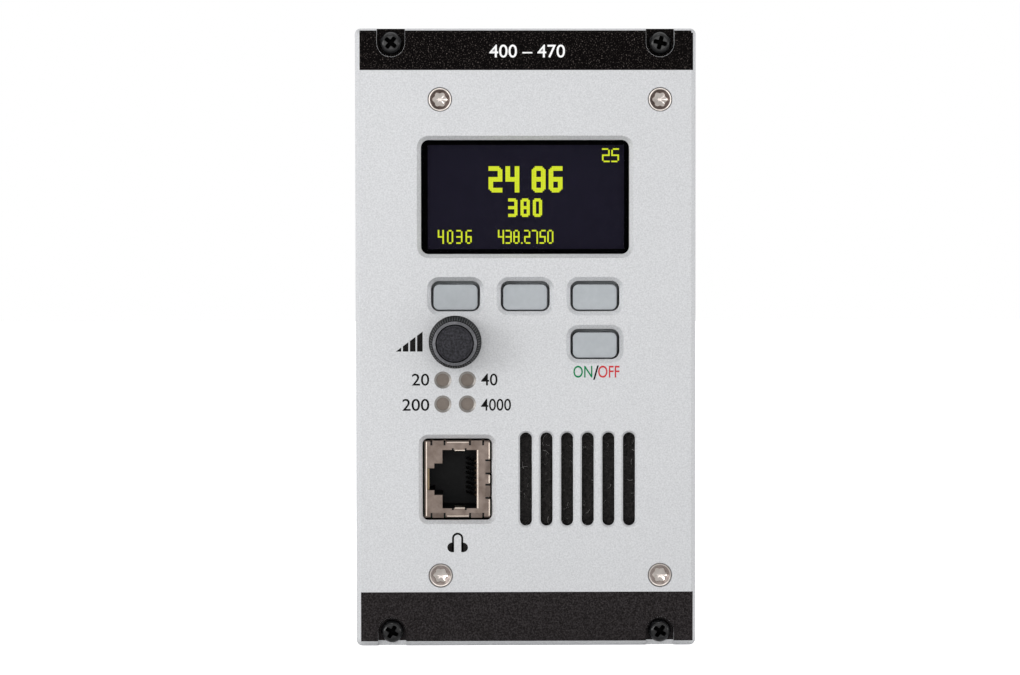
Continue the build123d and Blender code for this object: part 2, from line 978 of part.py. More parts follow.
def jack_contacts():
    """Eight springs that slope from the plug space's right wall towards its back."""
    wall = socket_x + plug_shift + plug_width / 2
    start = socket_face + contact_start
    end = socket_face + plug_depth - contact_end_gap
    outline = Polyline(
        (wall - contact_thickness, start),
        (wall, start),
        (wall, start + contact_thickness),
        (wall - contact_drop + contact_thickness, end),
        (wall - contact_drop, end),
        close=True,
    )
    spring = extrude(make_face(outline), amount=contact_width)
    first = socket_z - contact_pitch * (contact_count - 1) / 2 - contact_width / 2
    return group(Pos(0, 0, first + contact_pitch * index) * spring for index in range(contact_count))


# Speaker
def speaker_cloth():
    width, height = cloth_size()
    depth = (-cloth_pocket_depth, -cloth_pocket_depth + cloth_thickness)
    shrink = 2 * cloth_gap
    radius = cloth_margin - cloth_gap
    return rounded_block(speaker_x, speaker_z, width - shrink, height - shrink, radius, depth)


def speaker_basket():
    outer = basket_inner_radius + basket_wall
    points = [
        (basket_inner_radius, 0),
        (basket_rim_radius, 0),
        (basket_rim_radius, basket_rim_thickness),
        (outer, basket_rim_thickness),
        (outer, basket_depth),
        (coil_radius + coil_gap + basket_wall, basket_depth),
        (coil_radius + coil_gap + basket_wall, basket_depth - basket_wall),
        (basket_inner_radius, basket_depth - basket_wall),
    ]
    return turned(points, speaker_x, speaker_z)


def speaker_magnet():
    inner = coil_radius - coil_wall - coil_gap
    outer = coil_radius + coil_gap
    back = basket_depth + magnet_depth
    points = [
        (0, basket_depth),
        (inner, basket_depth),
        (inner, basket_depth + coil_slot_depth),
        (outer, basket_depth + coil_slot_depth),
        (outer, basket_depth),
        (magnet_radius, basket_depth),
        (magnet_radius, back),
        (0, back),
    ]
    return turned(points, speaker_x, speaker_z)


def speaker_cone():
    edge = basket_inner_radius - cone_edge_gap
    coil_inner = coil_radius - coil_wall
    coil_end = basket_depth + coil_reach
    points = [
        (0, cone_neck_y - cone_thickness),
        (coil_inner, cone_neck_y - cone_thickness),
        (edge - cone_thickness, cone_setback),
        (edge, cone_setback),
        (edge, cone_setback + cone_thickness),
        (coil_radius, cone_neck_y + cone_thickness),
        (coil_radius, coil_end),
        (coil_inner, coil_end),
        (coil_inner, cone_neck_y),
        (0, cone_neck_y),
    ]
    return turned(points, speaker_x, speaker_z)


# Front board
def front_board():
    x = around(0, front_board_width)
    z = around(0, front_board_height)
    board = block(x, (board_front, board_rear), z)
    through = (board_front - overrun, board_rear + overrun)
    for place in front_board_places():
        board -= rod_y(*place, through, thread_radius + thread_clearance)
    return board


def front_board_spacers():
    solids = []
    for place in front_board_places():
        spacer = rod_y(*place, (0, board_front), front_spacer_radius)
        solids.append(spacer - rod_y(*place, (0, board_front), thread_radius + thread_clearance))
    return group(solids)


def board_screws():
    """Pan-head screws that hold the front, receiver and power boards on their spacers."""
    screw = pan_screw(pan_head_radius, pan_head_height, fixing_head_edge, pan_screw_length)
    places = [Pos(x, board_rear, z) * Rot(0, 0, 180) for x, z in front_board_places()]
    places += [Pos(receiver_face, y, z) * Rot(0, 0, -90) for y, z in receiver_places]
    places += [Pos(power_face, y, z) * Rot(0, 0, 90) for y, z in power_places]
    return group(place * screw for place in places)


def ribbon_headers():
    x = around(ribbon_x, ribbon_header_width)
    z = around(0, ribbon_header_height)
    front_header = block(x, (board_rear, board_rear + ribbon_header_depth), z)
    y = around(ribbon_header_y, ribbon_header_width)
    rear_header = block((receiver_face - ribbon_header_depth, receiver_face), y, z)
    return group([front_header, rear_header])


def ribbon_cable():
    """A flat cable that leaves the front board's header and turns to the receiver board's."""
    start = board_rear + ribbon_header_depth
    bend = start + ribbon_run
    half = ribbon_thickness / 2
    corner = (ribbon_x + ribbon_radius, bend)
    outer = ribbon_radius + half
    ring = Pos(*corner) * (Circle(outer) - Circle(ribbon_radius - half))
    quarter = Pos(corner[0] - outer / 2, corner[1] + outer / 2) * Rectangle(outer, outer)
    flat = ring & quarter
    flat += Pos(ribbon_x, start + ribbon_run / 2) * Rectangle(ribbon_thickness, ribbon_run)
    flat += Pos(corner[0] + ribbon_run / 2, ribbon_header_y) * Rectangle(ribbon_run, ribbon_thickness)
    return Pos(0, 0, -ribbon_width / 2) * extrude(flat, amount=ribbon_width)


# Cassette
def cross_bar(y, level):
    """A bar between the side plates, with the tapped holes of every screw that enters it."""
    bar = block((-side_inner, side_inner), y, around(level * bar_z, bar_height))
    hole_radius = thread_radius + thread_clearance
    frame_hole = countersink(frame_screw_length)
    chassis_hole = rod_y(0, 0, (0, panel_thickness + chassis_screw_reach + overrun), hole_radius)
    rear_hole = rod_y(0, 0, (0, rear_sheet + pan_screw_length), hole_radius)
    cuts = [place * frame_hole for place in frame_screw_places()]
    cuts += [place * chassis_hole for place in chassis_screw_places()]
    cuts += [place * rear_hole for place in rear_frame_places()]
    return bar - cuts


def bars(y):
    return group([cross_bar(y, -1), cross_bar(y, 1)])


def side_plate(side):
    """A flat side whose long edges stand past the covers as runners for the rack's guides."""
    x = sorted((side * side_inner, side * side_plate_x))
    plate = block(x, (0, cassette_depth), around(0, 2 * (cover_top + runner_height)))
    for place in side_screw_places(side):
        plate -= place * countersink(side_sheet)
    return plate


def vent_slots(side):
    """Two columns of slots along a cover, as many as its length has room for."""
    pitch = vent_width * vent_pitch_share
    count = int((cassette_depth - 2 * vent_margin_y) / pitch)
    first = cassette_depth / 2 - pitch * (count - 1) / 2
    slot = SlotOverall(vent_length, vent_width)
    bottom = side * (bar_top + cover_top) / 2 - cover_sheet
    cuts = []
    for index in range(count):
        for x in (-vent_column_x, vent_column_x):
            cuts.append(Pos(x, first + pitch * index, bottom) * extrude(slot, amount=2 * cover_sheet))
    return cuts


def cover(side):
    x = around(0, 2 * (side_inner - cover_gap))
    y = (cover_gap, cassette_depth - cover_gap)
    plate = block(x, y, sorted((side * bar_top, side * cover_top)))
    plate -= vent_slots(side)
    for place in cover_screw_places(side):
        plate -= place * countersink(cover_sheet)
    return plate


def frame_screws():
    screw = countersunk_screw(frame_screw_length)
    setback = Pos(0, countersink_radius - countersunk_head_radius, 0)
    return group(place * setback * screw for place in frame_screw_places())


def rear_panel():
    x = around(0, 2 * side_plate_x)
    z = around(0, 2 * cover_top)
    depth = (cassette_depth, rear_face)
    through = (cassette_depth - overrun, rear_face + overrun)
    panel = block(x, depth, z)
    hole = rod_y(0, 0, (-overrun, pan_screw_length), thread_radius + thread_clearance)
    for place in rear_frame_places() + antenna_screw_places():
        panel -= place * hole
    panel -= rod_y(antenna_x, antenna_z, through, antenna_neck_radius + thread_clearance)
    panel -= block(
        around(inlet_x, inlet_body_width + 2 * inlet_fit),
        through,
        around(inlet_z, inlet_body_height + 2 * inlet_fit),
    )
    panel -= block(
        around(data_x, data_shell_width + 2 * data_insert_fit),
        through,
        around(data_z, data_shell_height + 2 * data_insert_fit),
    )
    for shift in around(0, jack_screw_spacing):
        panel -= rod_y(data_x + shift, data_z, through, thread_radius + thread_clearance)
    return panel - rod_y(earth_x, earth_z, through, earth_radius + thread_clearance)


def rear_screws():
    screw = pan_screw(pan_head_radius, pan_head_height, fixing_head_edge, pan_screw_length)
    return group(place * screw for place in rear_frame_places() + antenna_screw_places())


# Receiver board and power board
def side_board(face, back, middle_y, length, middle_z, height, places):
    board = block(sorted((face, back)), around(middle_y, length), around(middle_z, height))
    through = (min(face, back) - overrun, max(face, back) + overrun)
    for place in places:
        board -= rod_x(*place, through, thread_radius + thread_clearance)
    return board


def receiver_board():
    back = receiver_face + board_thickness
    return side_board(
        receiver_face, back, receiver_y, receiver_length, 0, receiver_height, receiver_places
    )


def power_board():
    back = power_face - board_thickness
    return side_board(
        power_face, back, power_y, power_length, power_z, power_height, power_places
    )


def board_spacers():
    """Press-in spacers that carry the receiver and power boards on the side plates."""
    solids = []
    right = (receiver_face + board_thickness, side_inner)
    left = (-side_inner, power_face - board_thickness)
    for places, span in ((receiver_places, right), (power_places, left)):
        for place in places:
            spacer = rod_x(*place, span, board_spacer_radius)
            solids.append(spacer - rod_x(*place, span, thread_radius + thread_clearance))
    return group(solids)


def receiver_shield():
    """A soldered can over the radio circuit, open towards the board."""
    top = receiver_face - can_depth
    outer = block((top, receiver_face), around(can_y, can_length), around(0, can_height))
    inner = block(
        (top + can_sheet, receiver_face + overrun),
        around(can_y, can_length - 2 * can_sheet),
        around(0, can_height - 2 * can_sheet),
    )
    return outer - inner


def power_transformer():
    x = (power_face, power_face + transformer_depth)
    return block(x, around(transformer_y, transformer_size), around(transformer_z, transformer_size))


def power_capacitors():
    first = power_z - capacitor_pitch * (capacitor_count - 1) / 2
    x = (power_face, power_face + capacitor_length)
    return group(
        rod_x(capacitor_y, first + capacitor_pitch * index, x, capacitor_radius)
        for index in range(capacitor_count)
    )


# Antenna connector
def antenna_connector():
    """A panel shell with a square flange, a plain coupling barrel outside and a neck inside."""
    face = rear_face + antenna_flange_thickness
    end = face + antenna_length
    shell = block(around(antenna_x, antenna_flange), (rear_face, face), around(antenna_z, antenna_flange))
    shell += rod_y(antenna_x, antenna_z, (face, end), antenna_radius)
    shell += rod_y(antenna_x, antenna_z, (rear_face - antenna_neck_length, rear_face), antenna_neck_radius)
    shell -= rod_y(antenna_x, antenna_z, (end - antenna_bore_depth, end + overrun), antenna_bore_radius)
    shell -= rod_y(antenna_x, antenna_z, (rear_face - antenna_neck_length, end), insulator_radius)
    hole = rod_y(0, 0, (-overrun, pan_screw_length), thread_radius + thread_clearance)
    for place in antenna_screw_places():
        shell -= place * hole
    return shell


def antenna_floor():
    return rear_face + antenna_flange_thickness + antenna_length - antenna_bore_depth


def antenna_insulator():
    depth = (rear_face - antenna_neck_length, antenna_floor() + insulator_stand)
    bead = rod_y(antenna_x, antenna_z, depth, insulator_radius)
    return bead - rod_y(antenna_x, antenna_z, depth, contact_pin_radius)


def antenna_contact():
    tail = rear_face - antenna_neck_length
    tip = antenna_floor() + insulator_stand + contact_pin_stand
    return rod_y(antenna_x, antenna_z, (tail, tip), contact_pin_radius)


def bent_wire(points, radius, bend):
    """A round wire along straight runs joined by one arc."""
    path = FilletPolyline(*points, radius=bend)
    start = Plane(origin=path @ 0, z_dir=path % 0)
    wire = sweep(start * Circle(radius), path=path)
    return wire


def antenna_lead():
    start = rear_face - antenna_neck_length
    turn = start - lead_run - lead_bend_radius
    points = [
        (antenna_x, start, antenna_z),
        (antenna_x, turn, antenna_z),
        (receiver_face, turn, antenna_z),
    ]
    return bent_wire(points, lead_radius, lead_bend_radius)


# Mains inlet
def inlet_cavity():
    """The inlet's six-sided space, as seen from the front."""
    half_width = inlet_cavity_width / 2
    half_height = inlet_cavity_height / 2
    cut = inlet_cavity_corner
    outline = Polyline(
        (-half_width, -half_height),
        (half_width, -half_height),
        (half_width, half_height - cut),
        (half_width - cut, half_height),
        (cut - half_width, half_height),
        (-half_width, half_height - cut),
        close=True,
    )
    return make_face(outline)


def pin_places():
    """Line, earth and neutral, the earth pin a step above the other two."""
    low = inlet_z - pin_offset_z / 2
    half = pin_spacing / 2
    return [(inlet_x - half, low), (inlet_x, low + pin_offset_z), (inlet_x + half, low)]


def inlet_pin(x, z, grown):
    depth = (rear_face - inlet_body_depth - pin_tail, inlet_pin_tip)
    return block(around(x, pin_width + grown), depth, around(z, pin_height + grown))


def mains_inlet():
    mouth = rear_face + inlet_bezel_thickness
    bezel = rounded_block(
        inlet_x, inlet_z, inlet_bezel_width, inlet_bezel_height, inlet_bezel_radius, (rear_face, mouth)
    )
    body_x = around(inlet_x, inlet_body_width)
    body_z = around(inlet_z, inlet_body_height)
    inlet = bezel + block(body_x, (rear_face - inlet_body_depth, rear_face), body_z)
    inlet -= prism(inlet_cavity(), inlet_x, inlet_z, (mouth - inlet_cavity_depth, mouth + overrun))
    for x, z in pin_places():
        inlet -= inlet_pin(x, z, 2 * pin_fit)
    return inlet


def mains_pins():
    return group(inlet_pin(x, z, 0) for x, z in pin_places())


def mains_leads():
    start = rear_face - inlet_body_depth - pin_tail
    solids = []
    for index, (x, z) in enumerate(pin_places()):
        turn = start - wire_run - wire_bend_radius - wire_stagger * index
        points = [(x, start, z), (x, turn, z), (power_face, turn, z)]
        solids.append(bent_wire(points, wire_radius, wire_bend_radius))
    return group(solids)


# Data connector
def data_outline(shrink):
    """The connector's D shape: its lower side is shorter than its upper side."""
    half_top = data_shell_width / 2 - shrink
    half_bottom = half_top - data_shell_slope
    half_height = data_shell_height / 2 - shrink
    outline = Polyline(
        (-half_top, half_height),
        (-half_bottom, -half_height),
        (half_bottom, -half_height),
        (half_top, half_height),
        close=True,
    )
    return make_face(outline)


def data_shell():
    face = rear_face + data_flange_thickness
    end = face + data_shell_length
    x = around(data_x, data_flange_width)
    shell = block(x, (rear_face, face), around(data_z, data_flange_height))
    shell += prism(data_outline(0), data_x, data_z, (face, end))
    shell -= prism(data_outline(data_shell_sheet), data_x, data_z, (rear_face - overrun, end + overrun))
    for shift in around(0, jack_screw_spacing):
        hole = (rear_face - overrun, face + overrun)
        shell -= rod_y(data_x + shift, data_z, hole, thread_radius + thread_clearance)
    return shell


def data_insert():
    end = rear_face + data_flange_thickness + data_shell_length
    depth = (rear_face - data_insert_tail, end)
    insert = prism(data_outline(data_shell_sheet + data_insert_fit), data_x, data_z, depth)
    for count, level in zip(data_row_counts, (1, -1)):
        for index in range(count):
            x = data_x + data_hole_pitch * (index - (count - 1) / 2)
            z = data_z + level * data_row_spacing / 2
            insert -= rod_y(x, z, (end - data_hole_depth, end + overrun), data_hole_radius)
    return insert


def data_jack_screws():
    face = rear_face + data_flange_thickness
    end = face + jack_screw_length
    solids = []
    for shift in around(data_x, jack_screw_spacing):
        post = prism(RegularPolygon(jack_screw_radius, 6), shift, data_z, (face, end))
        post += rod_y(shift, data_z, (rear_face - jack_screw_tail, face), thread_radius)
        post -= rod_y(shift, data_z, (end - jack_screw_bore_depth, end + overrun), jack_screw_bore)
        solids.append(post)
    return group(solids)


def earth_stud():
    collar_end = rear_face + earth_collar_thickness
    stud = prism(RegularPolygon(earth_collar_radius, 6), earth_x, earth_z, (rear_face, collar_end))
    depth = (cassette_depth - earth_tail, collar_end + earth_length)
    return stud + rod_y(earth_x, earth_z, depth, earth_radius)


# Every node of the part
key_names = ("soft_key_left", "soft_key_middle", "soft_key_right", "power_key")
nodes = {
    "front_panel": front_panel(),
    "panel_screws": panel_screws(),
    "chassis_screws": chassis_screws(),
    "display_window": display_window(),
    "display_glass": display_glass(),
    "display_carrier": display_carrier(),
    "display_header": display_header(),
    "display_spacers": display_spacers(),
    "key_switches": group(key_switch(*place) for place in key_places()),
    "volume_knob": volume_knob(),
    "encoder_shaft": encoder_shaft(),
    "encoder_body": encoder_body(),
    "light_pipes": group(light_pipe(*place) for place in lamp_places()),
    "lamp_chips": group(lamp_chip(*place) for place in lamp_places()),
    "jack_shield": jack_shield(),
    "jack_housing": jack_housing(),
    "jack_contacts": jack_contacts(),
    "speaker_cloth": speaker_cloth(),
    "speaker_basket": speaker_basket(),
    "speaker_magnet": speaker_magnet(),
    "speaker_cone": speaker_cone(),
    "front_board": front_board(),
    "front_board_spacers": front_board_spacers(),
    "board_screws": board_screws(),
    "ribbon_headers": ribbon_headers(),
    "ribbon_cable": ribbon_cable(),
    "front_bars": bars((0, bar_depth)),
    "rear_bars": bars((cassette_depth - bar_depth, cassette_depth)),
    "left_side_plate": side_plate(-1),
    "right_side_plate": side_plate(1),
    "top_cover": cover(1),
    "bottom_cover": cover(-1),
    "frame_screws": frame_screws(),
    "rear_panel": rear_panel(),
    "rear_screws": rear_screws(),
    "receiver_board": receiver_board(),
    "receiver_shield": receiver_shield(),
    "power_board": power_board(),
    "power_transformer": power_transformer(),
    "power_capacitors": power_capacitors(),
    "board_spacers": board_spacers(),
    "antenna_connector": antenna_connector(),
    "antenna_insulator": antenna_insulator(),
    "antenna_contact": antenna_contact(),
    "antenna_lead": antenna_lead(),
    "mains_inlet": mains_inlet(),
    "mains_pins": mains_pins(),
    "mains_leads": mains_leads(),
    "data_shell": data_shell(),
    "data_insert": data_insert(),
    "data_jack_screws": data_jack_screws(),
    "earth_stud": earth_stud(),
}
for name, place in zip(key_names, key_places()):
    nodes[name] = key(*place)
    nodes[name + "_plunger"] = key_plunger(*place)

os.makedirs("parts", exist_ok=True)
for name, shape in nodes.items():
    export_step(shape, f"parts/{name}.step")
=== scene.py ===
import math
from random import Random

import bmesh
import bpy
from bpy.props import FloatProperty, FloatVectorProperty, IntProperty, PointerProperty
from mathutils import Matrix, Vector


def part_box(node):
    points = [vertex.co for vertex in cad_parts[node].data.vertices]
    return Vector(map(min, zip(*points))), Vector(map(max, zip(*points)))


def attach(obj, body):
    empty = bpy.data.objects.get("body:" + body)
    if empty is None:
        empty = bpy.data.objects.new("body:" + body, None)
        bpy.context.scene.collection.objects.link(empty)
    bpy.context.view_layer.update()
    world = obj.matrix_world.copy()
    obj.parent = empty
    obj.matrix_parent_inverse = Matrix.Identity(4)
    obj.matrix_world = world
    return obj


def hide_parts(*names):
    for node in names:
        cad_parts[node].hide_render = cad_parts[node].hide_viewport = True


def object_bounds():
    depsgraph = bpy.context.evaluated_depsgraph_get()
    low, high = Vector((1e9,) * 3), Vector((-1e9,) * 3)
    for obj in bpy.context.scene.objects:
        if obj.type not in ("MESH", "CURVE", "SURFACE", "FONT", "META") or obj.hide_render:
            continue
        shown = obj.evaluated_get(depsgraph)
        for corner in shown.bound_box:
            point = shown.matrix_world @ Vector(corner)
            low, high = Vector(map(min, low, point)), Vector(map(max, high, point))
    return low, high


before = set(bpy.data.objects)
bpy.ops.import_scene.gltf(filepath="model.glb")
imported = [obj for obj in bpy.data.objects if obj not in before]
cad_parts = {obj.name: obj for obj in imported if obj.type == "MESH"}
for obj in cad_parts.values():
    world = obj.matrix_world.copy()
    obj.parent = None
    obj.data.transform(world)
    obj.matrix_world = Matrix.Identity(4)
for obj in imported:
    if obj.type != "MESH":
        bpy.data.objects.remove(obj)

bl_info = {
    "name": "Rack receiver looks",
    "version": (1, 0, 0),
    "blender": (4, 5, 0),
    "location": "View3D > Sidebar > Receiver",
    "description": "Finishes, prints and small parts of a plug-in receiver module",
    "category": "Object",
}

MM = 0.001
PANEL_LOW, PANEL_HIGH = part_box("front_panel")
FRONT = PANEL_LOW.y
CAD_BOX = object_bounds()


def length(name, description, mm):
    """A length property whose default is given in millimetres."""
    return FloatProperty(
        name=name, description=description, default=mm * MM, unit="LENGTH", subtype="DISTANCE", precision=6
    )


def share(name, description, default):
    """A share or strength, not below zero."""
    return FloatProperty(name=name, description=description, default=default, min=0.0)


def count(name, description, default):
    return IntProperty(name=name, description=description, default=default, min=1)


def degrees(name, description, default):
    """An angle property whose default is given in degrees."""
    return FloatProperty(name=name, description=description, default=math.radians(default), subtype="ANGLE")


def screen(rgb):
    """The linear colour, with its alpha, that shows as these sRGB values."""
    parts = [part / 255 for part in rgb]
    return (*(((part + 0.055) / 1.055) ** 2.4 if part > 0.04 else part / 12.92 for part in parts), 1)


# Sizes and amounts of the looks
class PrintLooks(bpy.types.PropertyGroup):
    film: length("Film", "Thickness of the printed films", 0.02)
    edge: length("Edge bevel", "Width of the panel's edge bevel", 0.95)
    left: length("Left", "Where the printed bands end on the left", -34.4)
    right: length("Right", "Where the printed bands end on the right", 34.8)
    top_low: length("Top band, lower edge", "Lower edge of the upper band", 55.6)
    top_high: length("Top band, upper edge", "Upper edge of the upper band, on the bevel", 63.8)
    bottom_high: length("Bottom band, upper edge", "Upper edge of the lower band", -53.0)
    bottom_low: length("Bottom band, lower edge", "Lower edge of the lower band", -63.25)
    recess: length("Recess radius", "Radius of the screws' recesses", 2.92)
    recess_depth: length("Recess depth", "Depth of the screws' recesses", 1.6)
    recess_rim: length("Recess rim", "Bare rim around the upper recesses", 0.025)
    weight: share("Weight", "How much bolder the lettering is than the plain font", 0.007)


class DisplayLooks(bpy.types.PropertyGroup):
    left: length("Left", "Left edge of the lit area", -20.4)
    right: length("Right", "Right edge of the lit area", 20.6)
    low: length("Low", "Lower edge of the lit area", 18.5)
    high: length("High", "Upper edge of the lit area", 40.2)
    under: length("Under the lip", "How far the black border goes under the panel", 0.6)
    film: length("Film", "Thickness of the border and of the lit dots", 0.03)
    pitch: length("Dot pitch", "Distance between the display's dots", 0.322)
    fill: share("Dot fill", "Share of the pitch that a dot fills", 0.96)
    glow: share("Glow", "How strongly the dots shine", 1.1)


class ScrewLooks(bpy.types.PropertyGroup):
    sides: count("Sides", "Sides of the turned screws", 48)
    thread: length("Thread radius", "Radius of the threads", 1.25)
    head: length("Black head radius", "Radius of the black heads", 2.35)
    height: length("Black head height", "Height of the black heads", 1.9)
    rim: length("Black head rim", "Height of the black heads' straight side", 0.7)
    crown: length("Black head crown", "Radius of the flat top of the black heads", 1.42)
    neck: length("Neck radius", "Radius of the captive neck", 0.95)
    neck_end: length("Neck end", "Where the captive neck ends behind the panel", 0.4)
    cross: length("Cross reach", "How far the cross recess reaches from its centre", 1.4)
    arm: length("Cross arm", "Half the width of a cross arm", 0.46)
    cross_depth: length("Cross depth", "Depth of the cross recess", 1.2)
    silver: length("Silver head radius", "Radius of the silver heads", 2.4)
    shade: length("Silver rim", "Outer radius of the ring inside the silver heads' rim", 2.08)
    dip: length("Silver dip", "How far the ring inside the rim slopes down", 0.2)
    lobe: length("Lobe radius", "Mean radius of the six-lobe recess", 1.5)
    lobe_swing: length("Lobe swing", "How far the lobes leave their mean radius", 0.16)
    lobe_depth: length("Lobe depth", "Depth of the six-lobe recess", 1.1)


class KnobLooks(bpy.types.PropertyGroup):
    sides: count("Sides", "Sides of the turned knob", 96)
    shoulder: length("Shoulder radius", "Radius of the grip's upper edge", 4.5)
    shoulder_drop: length("Shoulder drop", "From the top to the grip's upper edge", 0.85)
    ring: length("Ring radius", "Inner radius of the sloping ring", 3.9)
    ring_drop: length("Ring drop", "From the top to the ring's inner edge", 0.25)
    disc: length("Disc radius", "Radius of the top disc", 3.68)
    dish: length("Dish radius", "Radius of the shallow dish in the disc", 3.35)
    dish_depth: length("Dish depth", "Depth of the shallow dish", 0.12)
    bore: length("Bore radius", "Radius of the shaft's bore", 3.03)
    roof: length("Roof", "Thickness over the bore", 2.2)
    film: length("Film", "Thickness of the ring", 0.05)
    groove: length("Groove", "Width and depth of the groove between grip and ring", 0.16)
    ribs: count("Ribs", "Ribs around the grip", 60)
    rib: length("Rib radius", "Radius of a rib", 0.1)


class LampLooks(bpy.types.PropertyGroup):
    sides: count("Sides", "Sides of the turned collars", 40)
    flange: length("Flange radius", "Radius of the light pipes' flanges", 2.05)
    outer: length("Outer radius", "Outer radius of the lamps' collars", 1.79)
    hole: length("Hole radius", "Radius where a collar touches its hole", 1.57)
    inner: length("Inner radius", "Inner radius of the lamps' collars", 1.34)
    slope: length("Slope", "How far a collar's face falls inwards", 0.16)
    bevel: length("Bevel", "Depth of the holes' bevel", 0.21)
    depth: length("Depth", "Depth of a collar", 0.28)


class FeltLooks(bpy.types.PropertyGroup):
    cell: length("Cell", "Size of the felt's surface cells", 0.35)
    nap: length("Nap", "How far the felt's surface swells", 0.12)
    fibres: count("Fibres", "Loose fibres on the felt", 1100)
    fibre: length("Fibre length", "Mean length of a fibre", 1.0)
    thickness: length("Fibre radius", "Radius of a fibre", 0.024)
    specks: count("Specks", "Pale dust fibres on the felt", 130)
    seed: count("Seed", "Seed of the felt's random draws", 7)


class SocketLooks(bpy.types.PropertyGroup):
    lip: length("Lip width", "Width of the lips at the plug's opening", 2.1)
    shift: length("Lip shift", "From the socket's middle to the lips' middle", 0.4)
    rise: length("Lip rise", "How far a lip stands into the opening", 0.3)
    sheet: length("Sheet", "Thickness of the lips", 0.15)
    reach: length("Lip reach", "How far the lips go back", 1.4)
    opening: length("Opening height", "Height of the plug's opening", 12.2)
    bead: length("Bead radius", "Radius of the folded edges", 0.14)
    strip_left: length("Strip left", "From the socket's middle to the latch strip's left edge", -6.4)
    strip_right: length("Strip right", "From the socket's middle to the latch strip's right edge", -5.95)
    strip_height: length("Strip height", "Height of the latch strip", 4.4)
    strip_depth: length("Strip depth", "How far the latch strip lies behind the shield's face", 0.5)


class StageLooks(bpy.types.PropertyGroup):
    eye: FloatVectorProperty(
        name="Eye",
        description="Where the camera stands",
        default=(-0.0105, -0.55, 0.0158),
        subtype="TRANSLATION",
    )
    pitch: degrees("Pitch", "Camera's turn up", -1.647)
    yaw: degrees("Yaw", "Camera's turn left", -0.757)
    roll: degrees("Roll", "Camera's roll", -0.069)
    focal: FloatProperty(name="Focal length", description="Focal length on a 36 mm frame", default=92.7)
    ambient: share("Ambient", "Strength of the light from all sides", 0.71)


class ReceiverLooks(bpy.types.PropertyGroup):
    print: PointerProperty(type=PrintLooks)
    display: PointerProperty(type=DisplayLooks)
    screws: PointerProperty(type=ScrewLooks)
    knob: PointerProperty(type=KnobLooks)
    lamps: PointerProperty(type=LampLooks)
    felt: PointerProperty(type=FeltLooks)
    socket: PointerProperty(type=SocketLooks)
    stage: PointerProperty(type=StageLooks)


# Nodes
BLACK, WHITE = (0, 0, 0, 1), (1, 1, 1, 1)


def set_inputs(tree, node, inputs):
    """Gives a node's inputs values, or links from other nodes' sockets."""
    for label, value in inputs.items():
        if isinstance(value, bpy.types.NodeSocket):
            tree.links.new(value, node.inputs[label])
        else:
            node.inputs[label].default_value = value


def add_node(tree, kind, inputs=None, **settings):
    """Adds a node with its settings and inputs."""
    node = tree.nodes.new(kind)
    for label, value in settings.items():
        setattr(node, label, value)
    set_inputs(tree, node, inputs or {})
    return node


def group_node(tree, name, inputs):
    """Adds a shared shader group."""
    return add_node(tree, "ShaderNodeGroup", inputs, node_tree=bpy.data.node_groups[name])


def number_math(tree, operation, *terms):
    """The result of an operation on numbers, each a value or a socket."""
    return add_node(tree, "ShaderNodeMath", dict(enumerate(terms)), operation=operation).outputs["Value"]


def object_place(tree):
    """The socket of the object coordinates."""
    return add_node(tree, "ShaderNodeTexCoord").outputs["Object"]


def new_material(name, values):
    """A material and its surface shader, which takes the values."""
    material = bpy.data.materials.new(name)
    material.use_nodes = True
    shader = material.node_tree.nodes["Principled BSDF"]
    set_inputs(material.node_tree, shader, values)
    return material, shader


# Shared shader groups
GRAIN_DETAIL = 3.0
GRAIN_ROUGHNESS = 0.6
# The black of the painted shade inside the panel's openings, also the dark base under the lit dots
SHADE_COLOUR = (0.002, 0.002, 0.002, 1)


def shader_group(name, inputs, outputs):
    """A shader node group with named sockets, and the sockets that its input node gives."""
    group = bpy.data.node_groups.new(name, "ShaderNodeTree")
    for label, kind, default in inputs:
        socket = group.interface.new_socket(label, in_out="INPUT", socket_type="NodeSocket" + kind)
        socket.default_value = default
    for label, kind in outputs:
        group.interface.new_socket(label, in_out="OUTPUT", socket_type="NodeSocket" + kind)
    return group, group.nodes.new("NodeGroupInput").outputs


def grain_group():
    """Fine grain: two tones that mix by a noise, stretched along any axis, and the noise as a height."""
    group, given = shader_group(
        "Fine grain",
        (
            ("Dark", "Color", BLACK),
            ("Light", "Color", WHITE),
            ("Scale", "Float", 1000.0),
            ("From", "Float", 0.3),
            ("To", "Float", 0.7),
            ("Stretch", "Vector", (1, 1, 1)),
        ),
        (("Colour", "Color"), ("Height", "Float")),
    )
    factors = {0: object_place(group), 1: given["Stretch"]}
    stretched = add_node(group, "ShaderNodeVectorMath", factors, operation="MULTIPLY").outputs[0]
    fineness = {"Scale": given["Scale"], "Detail": GRAIN_DETAIL, "Roughness": GRAIN_ROUGHNESS}
    height = add_node(group, "ShaderNodeTexNoise", {"Vector": stretched, **fineness}).outputs["Fac"]
    span = {"Value": height, "From Min": given["From"], "From Max": given["To"]}
    spread = add_node(group, "ShaderNodeMapRange", span).outputs["Result"]
    tones = {"Factor": spread, "A": given["Dark"], "B": given["Light"]}
    colour = add_node(group, "ShaderNodeMix", tones, data_type="RGBA").outputs["Result"]
    add_node(group, "NodeGroupOutput", {"Colour": colour, "Height": height})


def smudge_group():
    """Broad, soft patches between two roughness values."""
    group, given = shader_group(
        "Smudges",
        (("Scale", "Float", 60.0), ("Low", "Float", 0.3), ("High", "Float", 0.4)),
        (("Roughness", "Float"),),
    )
    noise = add_node(group, "ShaderNodeTexNoise", {"Vector": object_place(group), "Scale": given["Scale"]})
    span = {"Value": noise.outputs["Fac"], "To Min": given["Low"], "To Max": given["High"]}
    spread = add_node(group, "ShaderNodeMapRange", span).outputs["Result"]
    add_node(group, "NodeGroupOutput", {"Roughness": spread})


